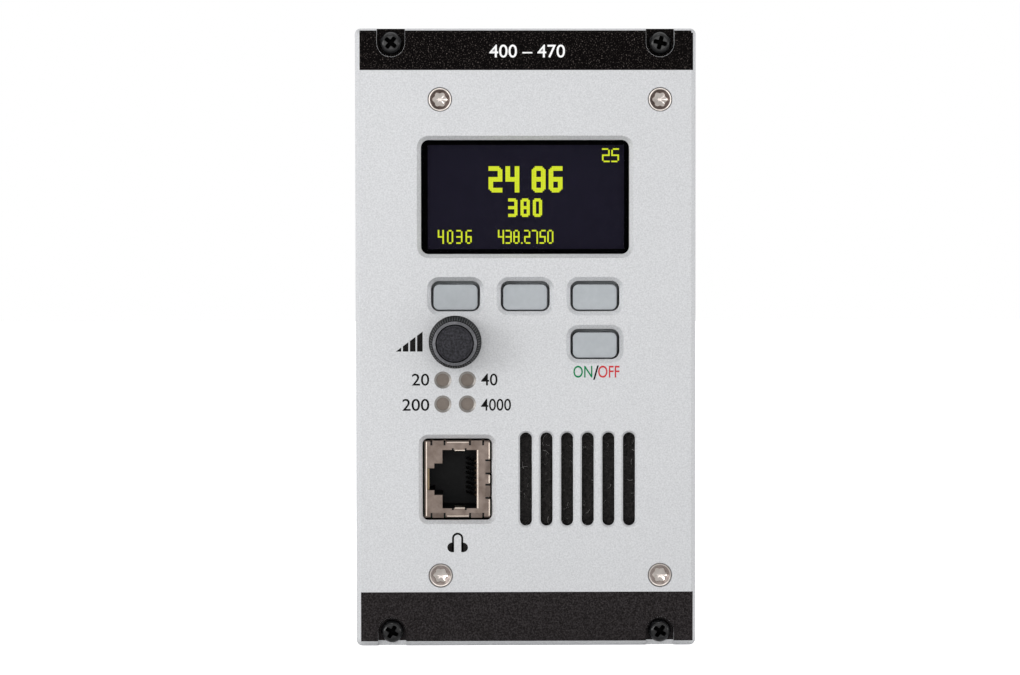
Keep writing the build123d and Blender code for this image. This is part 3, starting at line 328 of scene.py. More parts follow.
def painted_shade_group():
    """Painted shade: a colour that turns black between two depths, within limits to the sides, and what stays
    open.
    """
    limits = (("Front", 0.0), ("Back", 1.0), ("Side limit", 1.0), ("Height limit", 1.0))
    group, given = shader_group(
        "Painted depth shade",
        (("Colour", "Color", WHITE), *((label, "Float", default) for label, default in limits)),
        (("Colour", "Color"), ("Open", "Float")),
    )
    parts = add_node(group, "ShaderNodeSeparateXYZ", {"Vector": object_place(group)}).outputs
    behind = number_math(group, "GREATER_THAN", parts["Y"], given["Front"])
    before = number_math(group, "LESS_THAN", parts["Y"], given["Back"])
    shade = number_math(group, "MULTIPLY", behind, before)
    for axis, limit in (("X", "Side limit"), ("Z", "Height limit")):
        reach = number_math(group, "ABSOLUTE", parts[axis])
        within = number_math(group, "LESS_THAN", reach, given[limit])
        shade = number_math(group, "MULTIPLY", shade, within)
    tones = {"Factor": shade, "A": given["Colour"], "B": SHADE_COLOUR}
    colour = add_node(group, "ShaderNodeMix", tones, data_type="RGBA").outputs["Result"]
    add_node(group, "NodeGroupOutput", {"Colour": colour, "Open": number_math(group, "SUBTRACT", 1.0, shade)})


# Finishes
DEFAULTS = {
    "scale": 600,
    "spread": (0.3, 0.7),
    "rough": (0.4, 0.5),
    "metallic": 0.0,
    "specular": 0.5,
    "bump": 0.0,
    "stretch": (1, 1, 1),
}
ALONG_Y = (1, 0.02, 1)


def look(dark, light, *shared, **others):
    """A finish: two screen tones that a fine grain mixes, and how the surface reflects."""
    values = {**DEFAULTS, "dark": dark, "light": light}
    for part in (*shared, others):
        values.update(part)
    return values


TIN = {"scale": 500, "rough": (0.3, 0.38), "metallic": 1.0}
SCREW_STEEL = {"rough": (0.3, 0.36), "metallic": 1.0}
CONTACT = {"rough": (0.24, 0.3), "metallic": 1.0}
FLUFF = {"rough": (0.9, 0.95), "specular": 0.1}
PAPERY = {"rough": (0.5, 0.6), "bump": 0.01}
BAND = {"rough": (0.5, 0.6)}
FINISHES = {
    "panel_aluminium": look(
        (198, 199, 201), (222, 223, 225), scale=3200, rough=(0.5, 0.56), metallic=0.55, bump=0.01
    ),
    "black_steel": look((10, 10, 11), (22, 22, 23), scale=900, rough=(0.14, 0.2), specular=0.45),
    # Painted shade in the black screws' cross recesses
    "recess_painted_shade": look((2, 2, 2), (5, 5, 5), specular=0.02),
    "bright_steel": look((192, 184, 178), (216, 208, 202), rough=(0.12, 0.18), metallic=1.0),
    # Painted shade (upper row) and painted light (lower row) on the ring inside the silver heads' rim: one
    # steel in two tones
    "screw_shade": look((82, 71, 67), (104, 92, 87), SCREW_STEEL),
    "screw_ring_painted_light": look((138, 127, 122), (160, 149, 144), SCREW_STEEL),
    "display_face": look((29, 27, 41), (32, 30, 44), rough=(0.6, 0.7), specular=0.02),
    "key_plastic": look((172, 177, 181), (180, 185, 189), rough=(0.4, 0.46), bump=0.003),
    "knob_plastic": look(
        (20, 20, 24),
        (60, 59, 66),
        scale=2600,
        spread=(0.36, 0.76),
        rough=(0.34, 0.42),
        specular=0.2,
        bump=0.015,
    ),
    # The knob's dark plastic made near black and nearly without shine: painted shade in the groove and
    # between the ribs
    "knob_grip": look((8, 8, 9), (18, 18, 19), scale=1500, rough=(0.5, 0.6), specular=0.03),
    "knob_ribs": look((38, 38, 40), (60, 60, 62), scale=1500, specular=0.14),
    # A painted highlight: a light, shinier film on the sloping shoulder of the dark knob
    "knob_ring": look(
        (98, 98, 102), (128, 128, 132), scale=2200, rough=(0.38, 0.44), metallic=0.7, bump=0.006
    ),
    "lamp_lens": look((118, 108, 100), (130, 120, 112), rough=(0.16, 0.22), specular=0.2),
    # Painted shade: grey collars laid in the lamp holes' bevels, darker than the bare panel
    "lamp_shade_collar": look((136, 132, 128), (162, 158, 153), rough=(0.36, 0.42), metallic=0.7),
    "lamp_chip": look((226, 222, 196), (234, 230, 204)),
    "tinned_shield": look((176, 176, 174), (198, 198, 196), TIN, bump=0.003),
    "warm_tin": look((112, 99, 91), (140, 127, 119), TIN, bump=0.003),
    # The shield's tin made much brighter: painted highlight on the lips and folded edges
    "tin_painted_highlight": look((228, 214, 200), (244, 231, 218), TIN),
    "latch_tin": look((122, 104, 80), (146, 128, 102), rough=(0.3, 0.38), metallic=0.6),
    "black_plastic": look((12, 12, 13), (20, 20, 21), scale=900, specular=0.2, bump=0.006),
    # Gold made dark brown: painted shade on the contacts deep in the socket
    "contact_painted_shade": look((46, 38, 28), (58, 48, 36), CONTACT),
    "gold_contact": look((196, 158, 84), (212, 174, 98), CONTACT),
    "speaker_felt": look((18, 17, 17), (54, 52, 51), FLUFF, scale=2200, bump=0.05),
    "felt_fibre": look((64, 62, 61), (92, 90, 88), FLUFF),
    "dust": look((170, 168, 166), (214, 212, 210), rough=(0.8, 0.9), specular=0.1),
    "zinc_sheet": look(
        (184, 188, 192), (206, 210, 214), scale=220, rough=(0.34, 0.46), metallic=1.0, bump=0.003
    ),
    "magnet": look((58, 58, 60), (70, 70, 72), PAPERY, scale=800),
    "cone_film": look((26, 26, 27), (38, 38, 39), PAPERY, scale=1200),
    "cast_zinc": look((166, 168, 170), (184, 186, 188), scale=900, metallic=1.0, bump=0.006),
    "circuit_board": look((18, 84, 50), (26, 100, 62), scale=160, rough=(0.32, 0.42)),
    "ribbon_grey": look((150, 152, 156), (168, 170, 174), scale=700, bump=0.004),
    "cassette_aluminium": look(
        (190, 193, 196),
        (212, 214, 217),
        scale=1400,
        rough=(0.32, 0.42),
        metallic=1.0,
        bump=0.004,
        stretch=ALONG_Y,
    ),
    "capacitor_sleeve": look((22, 26, 40), (30, 35, 52), rough=(0.3, 0.36)),
    "nickel": look((196, 190, 178), (212, 206, 194), rough=(0.2, 0.28), metallic=1.0, bump=0.002),
    "white_insulator": look((226, 225, 220), (236, 235, 230), rough=(0.35, 0.4)),
    "lead_sheath": look((24, 24, 25), (36, 36, 37), scale=700, bump=0.004),
    "top_band_print": look((4, 2, 2), (150, 139, 134), BAND, scale=3700, spread=(0.58, 0.88), specular=0.04),
    "low_band_print": look((24, 21, 21), (62, 58, 59), BAND, scale=3300, spread=(0.4, 0.7), specular=0.05),
    "black_print": look((10, 9, 9), (36, 34, 34), scale=2400, specular=0.06),
    "white_print": look((246, 246, 246), (253, 253, 253), specular=0.1),
    "green_print": look((0, 122, 72), (6, 134, 84), specular=0.1),
    "red_print": look((196, 50, 56), (206, 62, 66), specular=0.1),
    "border_black": look((1, 1, 2), (2, 2, 3), specular=0.01),
}
GLASS = {
    "Base Color": (0.001, 0.001, 0.001, 1),
    "Roughness": 0.15,
    "Specular IOR Level": 0.06,
    "Alpha": 0.06,
}
FLOOR = {"Base Color": (0.94, 0.94, 0.94, 1), "Roughness": 0.9}
DOT_COLOUR = (217, 231, 18)
DOT_ROUGHNESS = 0.6
# The contacts take painted shade
NODE_FINISHES = {"jack_shield": "warm_tin", "jack_contacts": "contact_painted_shade"}
SMUDGE_SCALE = 90
# Painted shade inside the panel's openings: where it begins for keys and panel, its margin from the panel's
# edges and its end before the panel's back
KEY_SHADE_DEPTH = 0.96 * MM
PANEL_SHADE_DEPTH = 0.86 * MM
PANEL_SHADE_MARGIN = 2.5 * MM
SHADE_END = 0.05 * MM


def finish(name):
    """The material of a finish, made on first use."""
    made = bpy.data.materials.get("look_" + name)
    if made:
        return made
    values = FINISHES[name]
    shine = {"Metallic": values["metallic"], "Specular IOR Level": values["specular"]}
    material, shader = new_material("look_" + name, shine)
    tree = material.node_tree
    tones = {"Dark": screen(values["dark"]), "Light": screen(values["light"])}
    spread = {"Scale": values["scale"], "From": values["spread"][0], "To": values["spread"][1]}
    grain = group_node(tree, "Fine grain", {**tones, **spread, "Stretch": values["stretch"]}).outputs
    rough = {"Scale": SMUDGE_SCALE, "Low": values["rough"][0], "High": values["rough"][1]}
    smudge = group_node(tree, "Smudges", rough).outputs
    surface = {"Base Color": grain["Colour"], "Roughness": smudge["Roughness"]}
    if values["bump"]:
        relief = {"Distance": values["bump"] * MM, "Height": grain["Height"]}
        surface["Normal"] = add_node(tree, "ShaderNodeBump", relief).outputs["Normal"]
    set_inputs(tree, shader, surface)
    return material


def paint_shade_inside(name, depth, margin):
    """Painted shade: makes a finish black and without shine inside the panel's openings, from a depth on and
    up to a margin from its edges.
    """
    tree = finish(name).node_tree
    shader = tree.nodes["Principled BSDF"]
    values = {
        "Colour": shader.inputs["Base Color"].links[0].from_socket,
        "Front": FRONT + depth,
        "Back": PANEL_HIGH.y - SHADE_END,
        "Side limit": PANEL_HIGH.x - margin,
        "Height limit": PANEL_HIGH.z - margin,
    }
    shade = group_node(tree, "Painted depth shade", values).outputs
    surface = {"Base Color": shade["Colour"]}
    for label in ("Metallic", "Specular IOR Level"):
        surface[label] = number_math(tree, "MULTIPLY", shade["Open"], shader.inputs[label].default_value)
    set_inputs(tree, shader, surface)


# Mesh helpers
SHARP_ANGLE = math.radians(32)
MERGE_DISTANCE = 1e-7
HALF = 0.5
TEXT_RESOLUTION = 6


def linked(name, data):
    """A new object in the scene."""
    holder = bpy.data.objects.new(name, data)
    bpy.context.scene.collection.objects.link(holder)
    return holder


def add_piece(name, mesh, material, replaced=(), body="module"):
    """Puts a mesh in the scene as a piece that rides on a body. Without a material it keeps its own."""
    piece = linked(name, mesh)
    if material:
        mesh.materials.clear()
        mesh.materials.append(material)
    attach(piece, body)
    if replaced:
        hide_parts(*replaced)
    return piece


def plain_mesh(bm, name):
    """A mesh from a bmesh, which is freed."""
    mesh = bpy.data.meshes.new(name)
    bm.to_mesh(mesh)
    bm.free()
    return mesh


def mesh_from(bm, name):
    """A plain mesh from a bmesh, faces outward."""
    bmesh.ops.recalc_face_normals(bm, faces=bm.faces)
    return plain_mesh(bm, name)


def arc(x, z, radius, start, end, steps):
    """Points on an arc, angles in degrees."""
    angles = [math.radians(start + (end - start) * step / steps) for step in range(steps + 1)]
    return [(x + radius * math.cos(angle), z + radius * math.sin(angle)) for angle in angles]


def oblong(left, right, low, high):
    """The corners (x, z) of an upright rectangle."""
    return [(left, low), (right, low), (right, high), (left, high)]


def add_prism(bm, low, high):
    """Adds a closed shape between two outlines with as many corners."""
    low, high = ([bm.verts.new(corner) for corner in corners] for corners in (low, high))
    bm.faces.new(low)
    bm.faces.new(reversed(high))
    for index, corner in enumerate(low):
        after = (index + 1) % len(low)
        bm.faces.new((corner, high[index], high[after], low[after]))


def add_film(bm, points, back, thickness):
    """Adds a flat film that faces the front, from points (x, z) on a plane at a depth."""
    add_prism(bm, [(x, back, z) for x, z in points], [(x, back - thickness, z) for x, z in points])


def add_slope(bm, corners, offset):
    """Adds a thin film on a sloping plane, from its corners and its thickness as a vector."""
    add_prism(bm, corners, [Vector(corner) + offset for corner in corners])


def film_mesh(name, outlines, back, thickness):
    """A mesh of flat films that face the front, from outlines of points (x, z)."""
    bm = bmesh.new()
    for points in outlines:
        add_film(bm, points, back, thickness)
    return mesh_from(bm, name)


def turned_mesh(name, profile, sides, closed=False):
    """A shape turned around Y, from points (radius, y). A radius may be a function of the angle."""
    bm = bmesh.new()
    rings = []
    for radius, y in profile:
        if radius == 0:
            rings.append([bm.verts.new((0, y, 0))])
            continue
        ring = []
        for side in range(sides):
            angle = 2 * math.pi * side / sides
            reach = radius(angle) if callable(radius) else radius
            ring.append(bm.verts.new((reach * math.cos(angle), y, reach * math.sin(angle))))
        rings.append(ring)
    following = rings[1:] + rings[:1] if closed else rings[1:]
    for first, second in zip(rings, following):
        for side in range(sides):
            after = (side + 1) % sides
            corners = [first[side % len(first)], first[after % len(first)]]
            corners += [second[after % len(second)], second[side % len(second)]]
            bm.faces.new(list(dict.fromkeys(corners)))
    mesh = mesh_from(bm, name)
    soften(mesh)
    return mesh


def mark_inner(mesh, sides, first, last):
    """Marks the faces between two rings of a turned mesh as its inner ones."""
    inner = mesh.attributes.new("inner", "BOOLEAN", "FACE")
    for face in range(first * sides, last * sides):
        inner.data[face].value = True


def soften(mesh):
    """Shades a mesh smooth, apart from its sharp edges."""
    mesh.shade_smooth()
    mesh.set_sharp_from_angle(angle=SHARP_ANGLE)


def text_mesh(words, left, right, low, high, back, thickness, weight):
    """Words as a thin mesh that fills a box on a plane that faces the front."""
    curve = bpy.data.curves.new("words", "FONT")
    curve.body = words
    curve.extrude = HALF
    curve.resolution_u = TEXT_RESOLUTION
    curve.offset = weight
    mesh = evaluated_mesh(linked("words", curve))
    bpy.data.curves.remove(curve)
    xs = [vertex.co.x for vertex in mesh.vertices]
    ys = [vertex.co.y for vertex in mesh.vertices]
    across = (right - left) / (max(xs) - min(xs))
    up = (high - low) / (max(ys) - min(ys))
    for vertex in mesh.vertices:
        x, y, z = vertex.co
        vertex.co = (left + (x - min(xs)) * across, back - (z + HALF) * thickness, low + (y - min(ys)) * up)
    return mesh


def evaluated_mesh(holder):
    """The plain mesh of an object, which is removed."""
    graph = bpy.context.evaluated_depsgraph_get()
    mesh = bpy.data.meshes.new_from_object(holder.evaluated_get(graph))
    bpy.data.objects.remove(holder)
    return mesh


def joined(meshes, name):
    """One mesh from several, with close vertices merged."""
    bm = bmesh.new()
    for mesh in meshes:
        bm.from_mesh(mesh)
        bpy.data.meshes.remove(mesh)
    bmesh.ops.remove_doubles(bm, verts=bm.verts, dist=MERGE_DISTANCE)
    return plain_mesh(bm, name)


# Geometry node groups
BEAD_SIDES = 12
RIB_SIDES = 8
THREAD_STEPS = 36
THREAD_SIDES = 8
FIBRE_STEPS = 4
FIBRE_SIDES = 3
FIBRE_BEND = (("Start", -0.5, -0.1), ("Middle", 0.0, 0.2), ("End", 0.5, -0.05))
FIBRE_STRETCH = (0.4, 1.6)
TURN_SEED = 100
STRETCH_SEED = 200


def geometry_group(name, sockets):
    """A geometry node group with named inputs, and the sockets that its input node gives."""
    group = bpy.data.node_groups.new(name, "GeometryNodeTree")
    for label, kind in (("Geometry", "Geometry"), *sockets, ("Material", "Material")):
        group.interface.new_socket(label, in_out="INPUT", socket_type="NodeSocket" + kind)
    group.interface.new_socket("Geometry", in_out="OUTPUT", socket_type="NodeSocketGeometry")
    return group, group.nodes.new("NodeGroupInput").outputs


def finish_group(group, given, instances):
    """Ends a group: its instances made real and given their material, the inner faces another where asked."""
    solid = add_node(group, "GeometryNodeRealizeInstances", {"Geometry": instances})
    paint = {"Geometry": solid.outputs["Geometry"], "Material": given["Material"]}
    painted = add_node(group, "GeometryNodeSetMaterial", paint).outputs["Geometry"]
    if "Inner material" in given:
        inner = add_node(group, "GeometryNodeInputNamedAttribute", {"Name": "inner"}, data_type="BOOLEAN")
        paint = {"Geometry": painted, "Selection": inner.outputs["Attribute"]}
        paint["Material"] = given["Inner material"]
        painted = add_node(group, "GeometryNodeSetMaterial", paint).outputs["Geometry"]
    add_node(group, "NodeGroupOutput", {"Geometry": painted})
    return group


def tube(group, path, radius, sides):
    """A round tube along a curve, closed at its ends."""
    section = add_node(group, "GeometryNodeCurvePrimitiveCircle", {"Resolution": sides, "Radius": radius})
    shape = {"Curve": path, "Profile Curve": section.outputs["Curve"], "Fill Caps": True}
    return add_node(group, "GeometryNodeCurveToMesh", shape).outputs["Mesh"]


def copies_at(group, points, shape, turn, **others):
    """Copies of a shape at points, each turned around Y."""
    angles = add_node(group, "ShaderNodeCombineXYZ", {"Y": turn}).outputs["Vector"]
    inputs = {"Points": points, "Instance": shape, "Rotation": angles, **others}
    return add_node(group, "GeometryNodeInstanceOnPoints", inputs).outputs["Instances"]


def random_value(group, seed, low=0.0, high=1.0):
    """A random number for each point."""
    values = {"Seed": seed, "Min": low, "Max": high}
    return add_node(group, "FunctionNodeRandomValue", values).outputs["Value"]


def copies_group():
    """Copies of a shape at points, each turned around Y by its point's turn. Made on first use."""
    if "Copies" in bpy.data.node_groups:
        return bpy.data.node_groups["Copies"]
    group, given = geometry_group("Copies", (("Shape", "Object"), ("Inner material", "Material")))
    shape = add_node(group, "GeometryNodeObjectInfo", {"Object": given["Shape"]}).outputs["Geometry"]
    turn = add_node(group, "GeometryNodeInputNamedAttribute", {"Name": "turn"}).outputs["Attribute"]
    return finish_group(group, given, copies_at(group, given["Geometry"], shape, turn))


def ribs_group():
    """Round ribs along a cone around Y, evenly spaced."""
    sizes = ("Base radius", "Base", "Top radius", "Top", "Rib radius")
    group, given = geometry_group("Ribs", (("Count", "Int"), *((label, "Float") for label in sizes)))
    ends = {}
    for end, label in (("Start", "Base"), ("End", "Top")):
        place = {"X": given[label + " radius"], "Y": given[label]}
        ends[end] = add_node(group, "ShaderNodeCombineXYZ", place).outputs["Vector"]
    line = add_node(group, "GeometryNodeCurvePrimitiveLine", ends).outputs["Curve"]
    rib = tube(group, line, given["Rib radius"], RIB_SIDES)
    points = add_node(group, "GeometryNodePoints", {"Count": given["Count"]}).outputs["Points"]
    index = add_node(group, "GeometryNodeInputIndex").outputs["Index"]
    part = number_math(group, "DIVIDE", index, given["Count"])
    turn = number_math(group, "MULTIPLY", part, 2 * math.pi)
    return finish_group(group, given, copies_at(group, points, rib, turn))


def beads_group():
    """Round beads along the edges of a mesh."""
    group, given = geometry_group("Beads", (("Radius", "Float"),))
    paths = add_node(group, "GeometryNodeMeshToCurve", {"Mesh": given["Geometry"]}).outputs["Curve"]
    return finish_group(group, given, tube(group, paths, given["Radius"], BEAD_SIDES))


def thread_group():
    """A thread as a round bead that winds around Z."""
    sizes = ("Turns", "Radius", "Length", "Bead radius")
    group, given = geometry_group("Thread", [(label, "Float") for label in sizes])
    winding = {
        "Resolution": THREAD_STEPS,
        "Rotations": given["Turns"],
        "Start Radius": given["Radius"],
        "End Radius": given["Radius"],
        "Height": given["Length"],
    }
    path = add_node(group, "GeometryNodeCurveSpiral", winding).outputs["Curve"]
    return finish_group(group, given, tube(group, path, given["Bead radius"], THREAD_SIDES))


def fibres_group():
    """Short bent fibres strewn over a surface, flat along it and turned at random."""
    sockets = (("Count", "Int"), ("Length", "Float"), ("Radius", "Float"), ("Seed", "Int"))
    group, given = geometry_group("Fibres", sockets)
    area = add_node(group, "GeometryNodeMeshToPoints", {"Mesh": given["Geometry"]}).outputs["Points"]
    size = add_node(group, "GeometryNodeAttributeDomainSize", {"Geometry": area}, component="POINTCLOUD")
    kept = number_math(group, "DIVIDE", given["Count"], size.outputs["Point Count"])
    pair = {"A": random_value(group, given["Seed"]), "B": kept}
    drop = add_node(group, "FunctionNodeCompare", pair, operation="GREATER_THAN").outputs["Result"]
    thinned = {"Geometry": area, "Selection": drop}
    points = add_node(group, "GeometryNodeDeleteGeometry", thinned).outputs["Geometry"]
    places = {"Resolution": FIBRE_STEPS}
    for label, x, z in FIBRE_BEND:
        scaled = {0: (x, 0, z), "Scale": given["Length"]}
        places[label] = add_node(group, "ShaderNodeVectorMath", scaled, operation="SCALE").outputs["Vector"]
    bend = add_node(group, "GeometryNodeCurveQuadraticBezier", places).outputs["Curve"]
    fibre = tube(group, bend, given["Radius"], FIBRE_SIDES)
    turn = random_value(group, number_math(group, "ADD", given["Seed"], TURN_SEED), 0.0, 2 * math.pi)
    stretch = random_value(group, number_math(group, "ADD", given["Seed"], STRETCH_SEED), *FIBRE_STRETCH)
    return finish_group(group, given, copies_at(group, points, fibre, turn, Scale=stretch))


def grown(group, values, start=None):
    """The plain mesh that a geometry node group makes from named inputs."""
    holder = linked("holder", start or bpy.data.meshes.new("holder"))
    modifier = holder.modifiers.new("nodes", "NODES")
    modifier.node_group = group
    sockets = {item.name: item.identifier for item in group.interface.items_tree if item.in_out == "INPUT"}
    for label, value in values.items():
        modifier[sockets[label]] = value
    return evaluated_mesh(holder)


# Counts, shares and small sizes of the shapes
DOME_STEPS = 8
RECESS_STEPS = 24
HOOP_STEPS = 20
CUP_STEPS = 16
SMALLEST = 1e-6
CROSS_EDGE = 0.03 * MM
CROSS_FOOT = 0.6
SILVER_RIM = 0.08 * MM
LOBES = 6
LOBE_FOOT = 0.94
LOBE_STEP = 0.2
BLACK_TURNS = (30, 35, 40, 15)
DISPLAY_LEDGE = 1.6 * MM

# Rising bars beside the knob: how many, then left, base, width, gap and rise in millimetres
BAR_COUNT = 4
RISING_BARS = (-27.05, -2.8, 1.15, 0.33, 4.15)

# Headphones in millimetres: middle, low end, height of the hoop's centre, the hoop's radius and stroke
HEADPHONES = (-14.25, -44.65, -41.75, 1.17, 0.42)

# Their cups in millimetres: radius, inner edge from the middle, straight part
CUPS = (1.0, 0.79, 0.35)

# Lettering in millimetres: words, left, right, low, high
WHITE_WORDS = (("400 – 470", -7.5, 8.2, 58.15, 60.85),)
BLACK_WORDS = (
    ("20", -23.7, -20.1, -9.9, -7.4),
    ("40", -9.3, -5.9, -9.9, -7.4),
    ("200", -25.7, -20.1, -15.15, -12.65),
    ("4000", -9.3, -3.1, -15.15, -12.65),
    ("/", 14.0, 15.2, -8.75, -5.75),
)
GREEN_WORDS = (("ON", 9.9, 13.85, -8.3, -5.8),)
RED_WORDS = (("OFF", 15.05, 19.5, -8.3, -5.8),)

# Figures on the display: words, left and low in millimetres, then a figure's width, height and stroke, the
# gap between figures and the space between words, all in dots
FIGURES = (
    ("25", 16.0, 36.6, 5, 9, 1, 1, 2),
    ("24 86", -7.7, 30.3, 9, 17, 3, 2, 8),
    ("380", -3.6, 25.2, 6, 12, 2, 2, 4),
    ("4036", -18.3, 19.6, 4, 9, 1, 2, 2),
    ("438.2750", -5.75, 19.6, 4, 9, 1, 1, 2),
)
BARS = {
    "0": "top upper_left upper_right lower_left lower_right low",
    "2": "top upper_right middle lower_left low",
    "3": "top upper_right middle lower_right low",
    "4": "upper_left upper_right middle lower_right",
    "5": "top upper_left middle lower_right low",
    "6": "top upper_left middle lower_left lower_right low",
    "7": "top upper_right lower_right",
    "8": "top upper_left upper_right middle lower_left lower_right low",
}

# Folded edges of the socket's shield, from its middle in millimetres: two ends as (x, z)
FOLDS = (
    ((-6.55, -7.7), (-6.55, 7.85)),
    ((4.15, -6.1), (4.15, 6.1)),
    ((6.55, 4.2), (6.55, 7.6)),
    ((6.55, -0.85), (6.55, 0.85)),
    ((6.55, -7.6), (6.55, -4.2)),
    ((-2.25, 7.7), (2.25, 7.7)),
    ((-2.25, -7.7), (2.25, -7.7)),
)

# Threads behind the rear panel in millimetres: node, slot, radius, pitch, length, gap to the node's end
THREADS = (
    ("antenna_connector", "nickel", 7.94, 1.06, 10.6, 0.6),
    ("earth_stud", "gold_contact", 2.0, 0.7, 10.5, 0.5),
)
THREAD_BEAD_SHARE = 0.3
THREAD_SINK_SHARE = 0.4

# Soft lights: name, place and size in metres, radiance
SOFTBOXES = (
    ("front_light", (-0.1, -1.5, -0.25), 1.3, 1.2),
    ("key_light", (-0.75, -0.95, 0.15), 0.4, 4.8),
    ("left_light", (-0.9, -0.25, 0.0), 0.3, 4.2),
    ("right_light", (0.9, -0.25, 0.0), 0.3, 3.2),
    ("top_light", (-0.1, -0.25, 0.9), 0.3, 1.9),
)
FLOOR_SIZE = 3.0
FLOOR_GAP = 0.0002
SENSOR_WIDTH = 36.0
CLIP_START = 0.01


def cross_reach(angle, reach, arm):
    """How far a cross reaches from its centre at an angle."""
    across, up = max(abs(math.cos(angle)), SMALLEST), max(abs(math.sin(angle)), SMALLEST)
    return max(min(reach / across, arm / up), min(arm / across, reach / up))


def figure_dots(figure, width, height, stroke):
    """The dots of a figure drawn with straight bars and cut corners, as (column, row)."""
    if figure == ".":
        return {(column, row) for column in range(stroke) for row in range(stroke)}
    middle = (height - stroke) // 2
    spans = {
        "top": (0, width, height - stroke, height),
        "middle": (0, width, middle, middle + stroke),
        "low": (0, width, 0, stroke),
        "upper_left": (0, stroke, middle, height),
        "upper_right": (width - stroke, width, middle, height),
        "lower_left": (0, stroke, 0, middle + stroke),
        "lower_right": (width - stroke, width, 0, middle + stroke),
    }
    bars = BARS[figure].split()
    dots = set()
    for bar in bars:
        left, right, low, high = spans[bar]
        dots |= {(column, row) for column in range(left, right) for row in range(low, high)}
    for level, side in (("top", "left"), ("top", "right"), ("low", "left"), ("low", "right")):
        post = ("upper_" if level == "top" else "lower_") + side
        if level in bars and post in bars:
            cut = max(stroke - 1, 1)
            for column in range(cut):
                for row in range(cut - column):
                    corner_column = column if side == "left" else width - 1 - column
                    corner_row = row if level == "low" else height - 1 - row
                    dots.discard((corner_column, corner_row))
    return dots


def corner_places(low, high, radius):
    """Where four round things stand that touch the corners of a box, bottom row first."""
    return [(x, z) for z in (low.z + radius, high.z - radius) for x in (low.x + radius, high.x - radius)]


def notch(x, z, radius, side, edge):
    """The outline of a screw's recess that is open to one side, up to an edge."""
    return [(x + radius, edge), *arc(x, z, radius, 0, -side * 180, RECESS_STEPS), (x - radius, edge)]


def placed_copies(shape, places, material, inner=None):
    """Copies of a shape at places ((x, z), turn in degrees)."""
    places = list(places)
    points = bpy.data.meshes.new("places")
    points.from_pydata([(x, 0, z) for (x, z), turn in places], [], [])
    turns = points.attributes.new("turn", "FLOAT", "POINT")
    for index, (place, turn) in enumerate(places):
        turns.data[index].value = math.radians(turn)
    holder = linked("shape", shape)
    values = {"Shape": holder, "Material": material, "Inner material": inner or material}
    mesh = grown(copies_group(), values, points)
    bpy.data.objects.remove(holder)
    soften(mesh)
    return mesh


def front_sheet(surface, low, high, looks):
    """The front vertices of the felt as a mesh of points, a margin in from its edges."""
    inset = looks.fibre
    places = [
        vertex.co
        for vertex in surface.vertices
        if vertex.co.y < low.y + looks.nap
        and low.x + inset < vertex.co.x < high.x - inset
        and low.z + inset < vertex.co.z < high.z - inset
    ]
    points = bpy.data.meshes.new("felt_points")
    points.from_pydata([(x, max(y, low.y + looks.thickness), z) for x, y, z in places], [], [])
    return points


# One operator for each piece or group of pieces
class RECEIVER_OT_finishes(bpy.types.Operator):
    """Gives every CAD node the finish of its slot"""

    bl_idname = "receiver.finishes"
    bl_label = "Finishes"

    def execute(self, context):
        grain_group()
        smudge_group()
        painted_shade_group()
        # Painted shade: keys and panel turn black inside the panel's openings
        paint_shade_inside("key_plastic", KEY_SHADE_DEPTH, 0)
        paint_shade_inside("panel_aluminium", PANEL_SHADE_DEPTH, PANEL_SHADE_MARGIN)
        glass = new_material("look_window_glass", GLASS)[0]
        for node_name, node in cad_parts.items():
            for index, slot in enumerate(node.data.materials):
                name = NODE_FINISHES.get(node_name, slot.name.split(".")[0])
                node.data.materials[index] = glass if name == "window_glass" else finish(name)
        return {"FINISHED"}


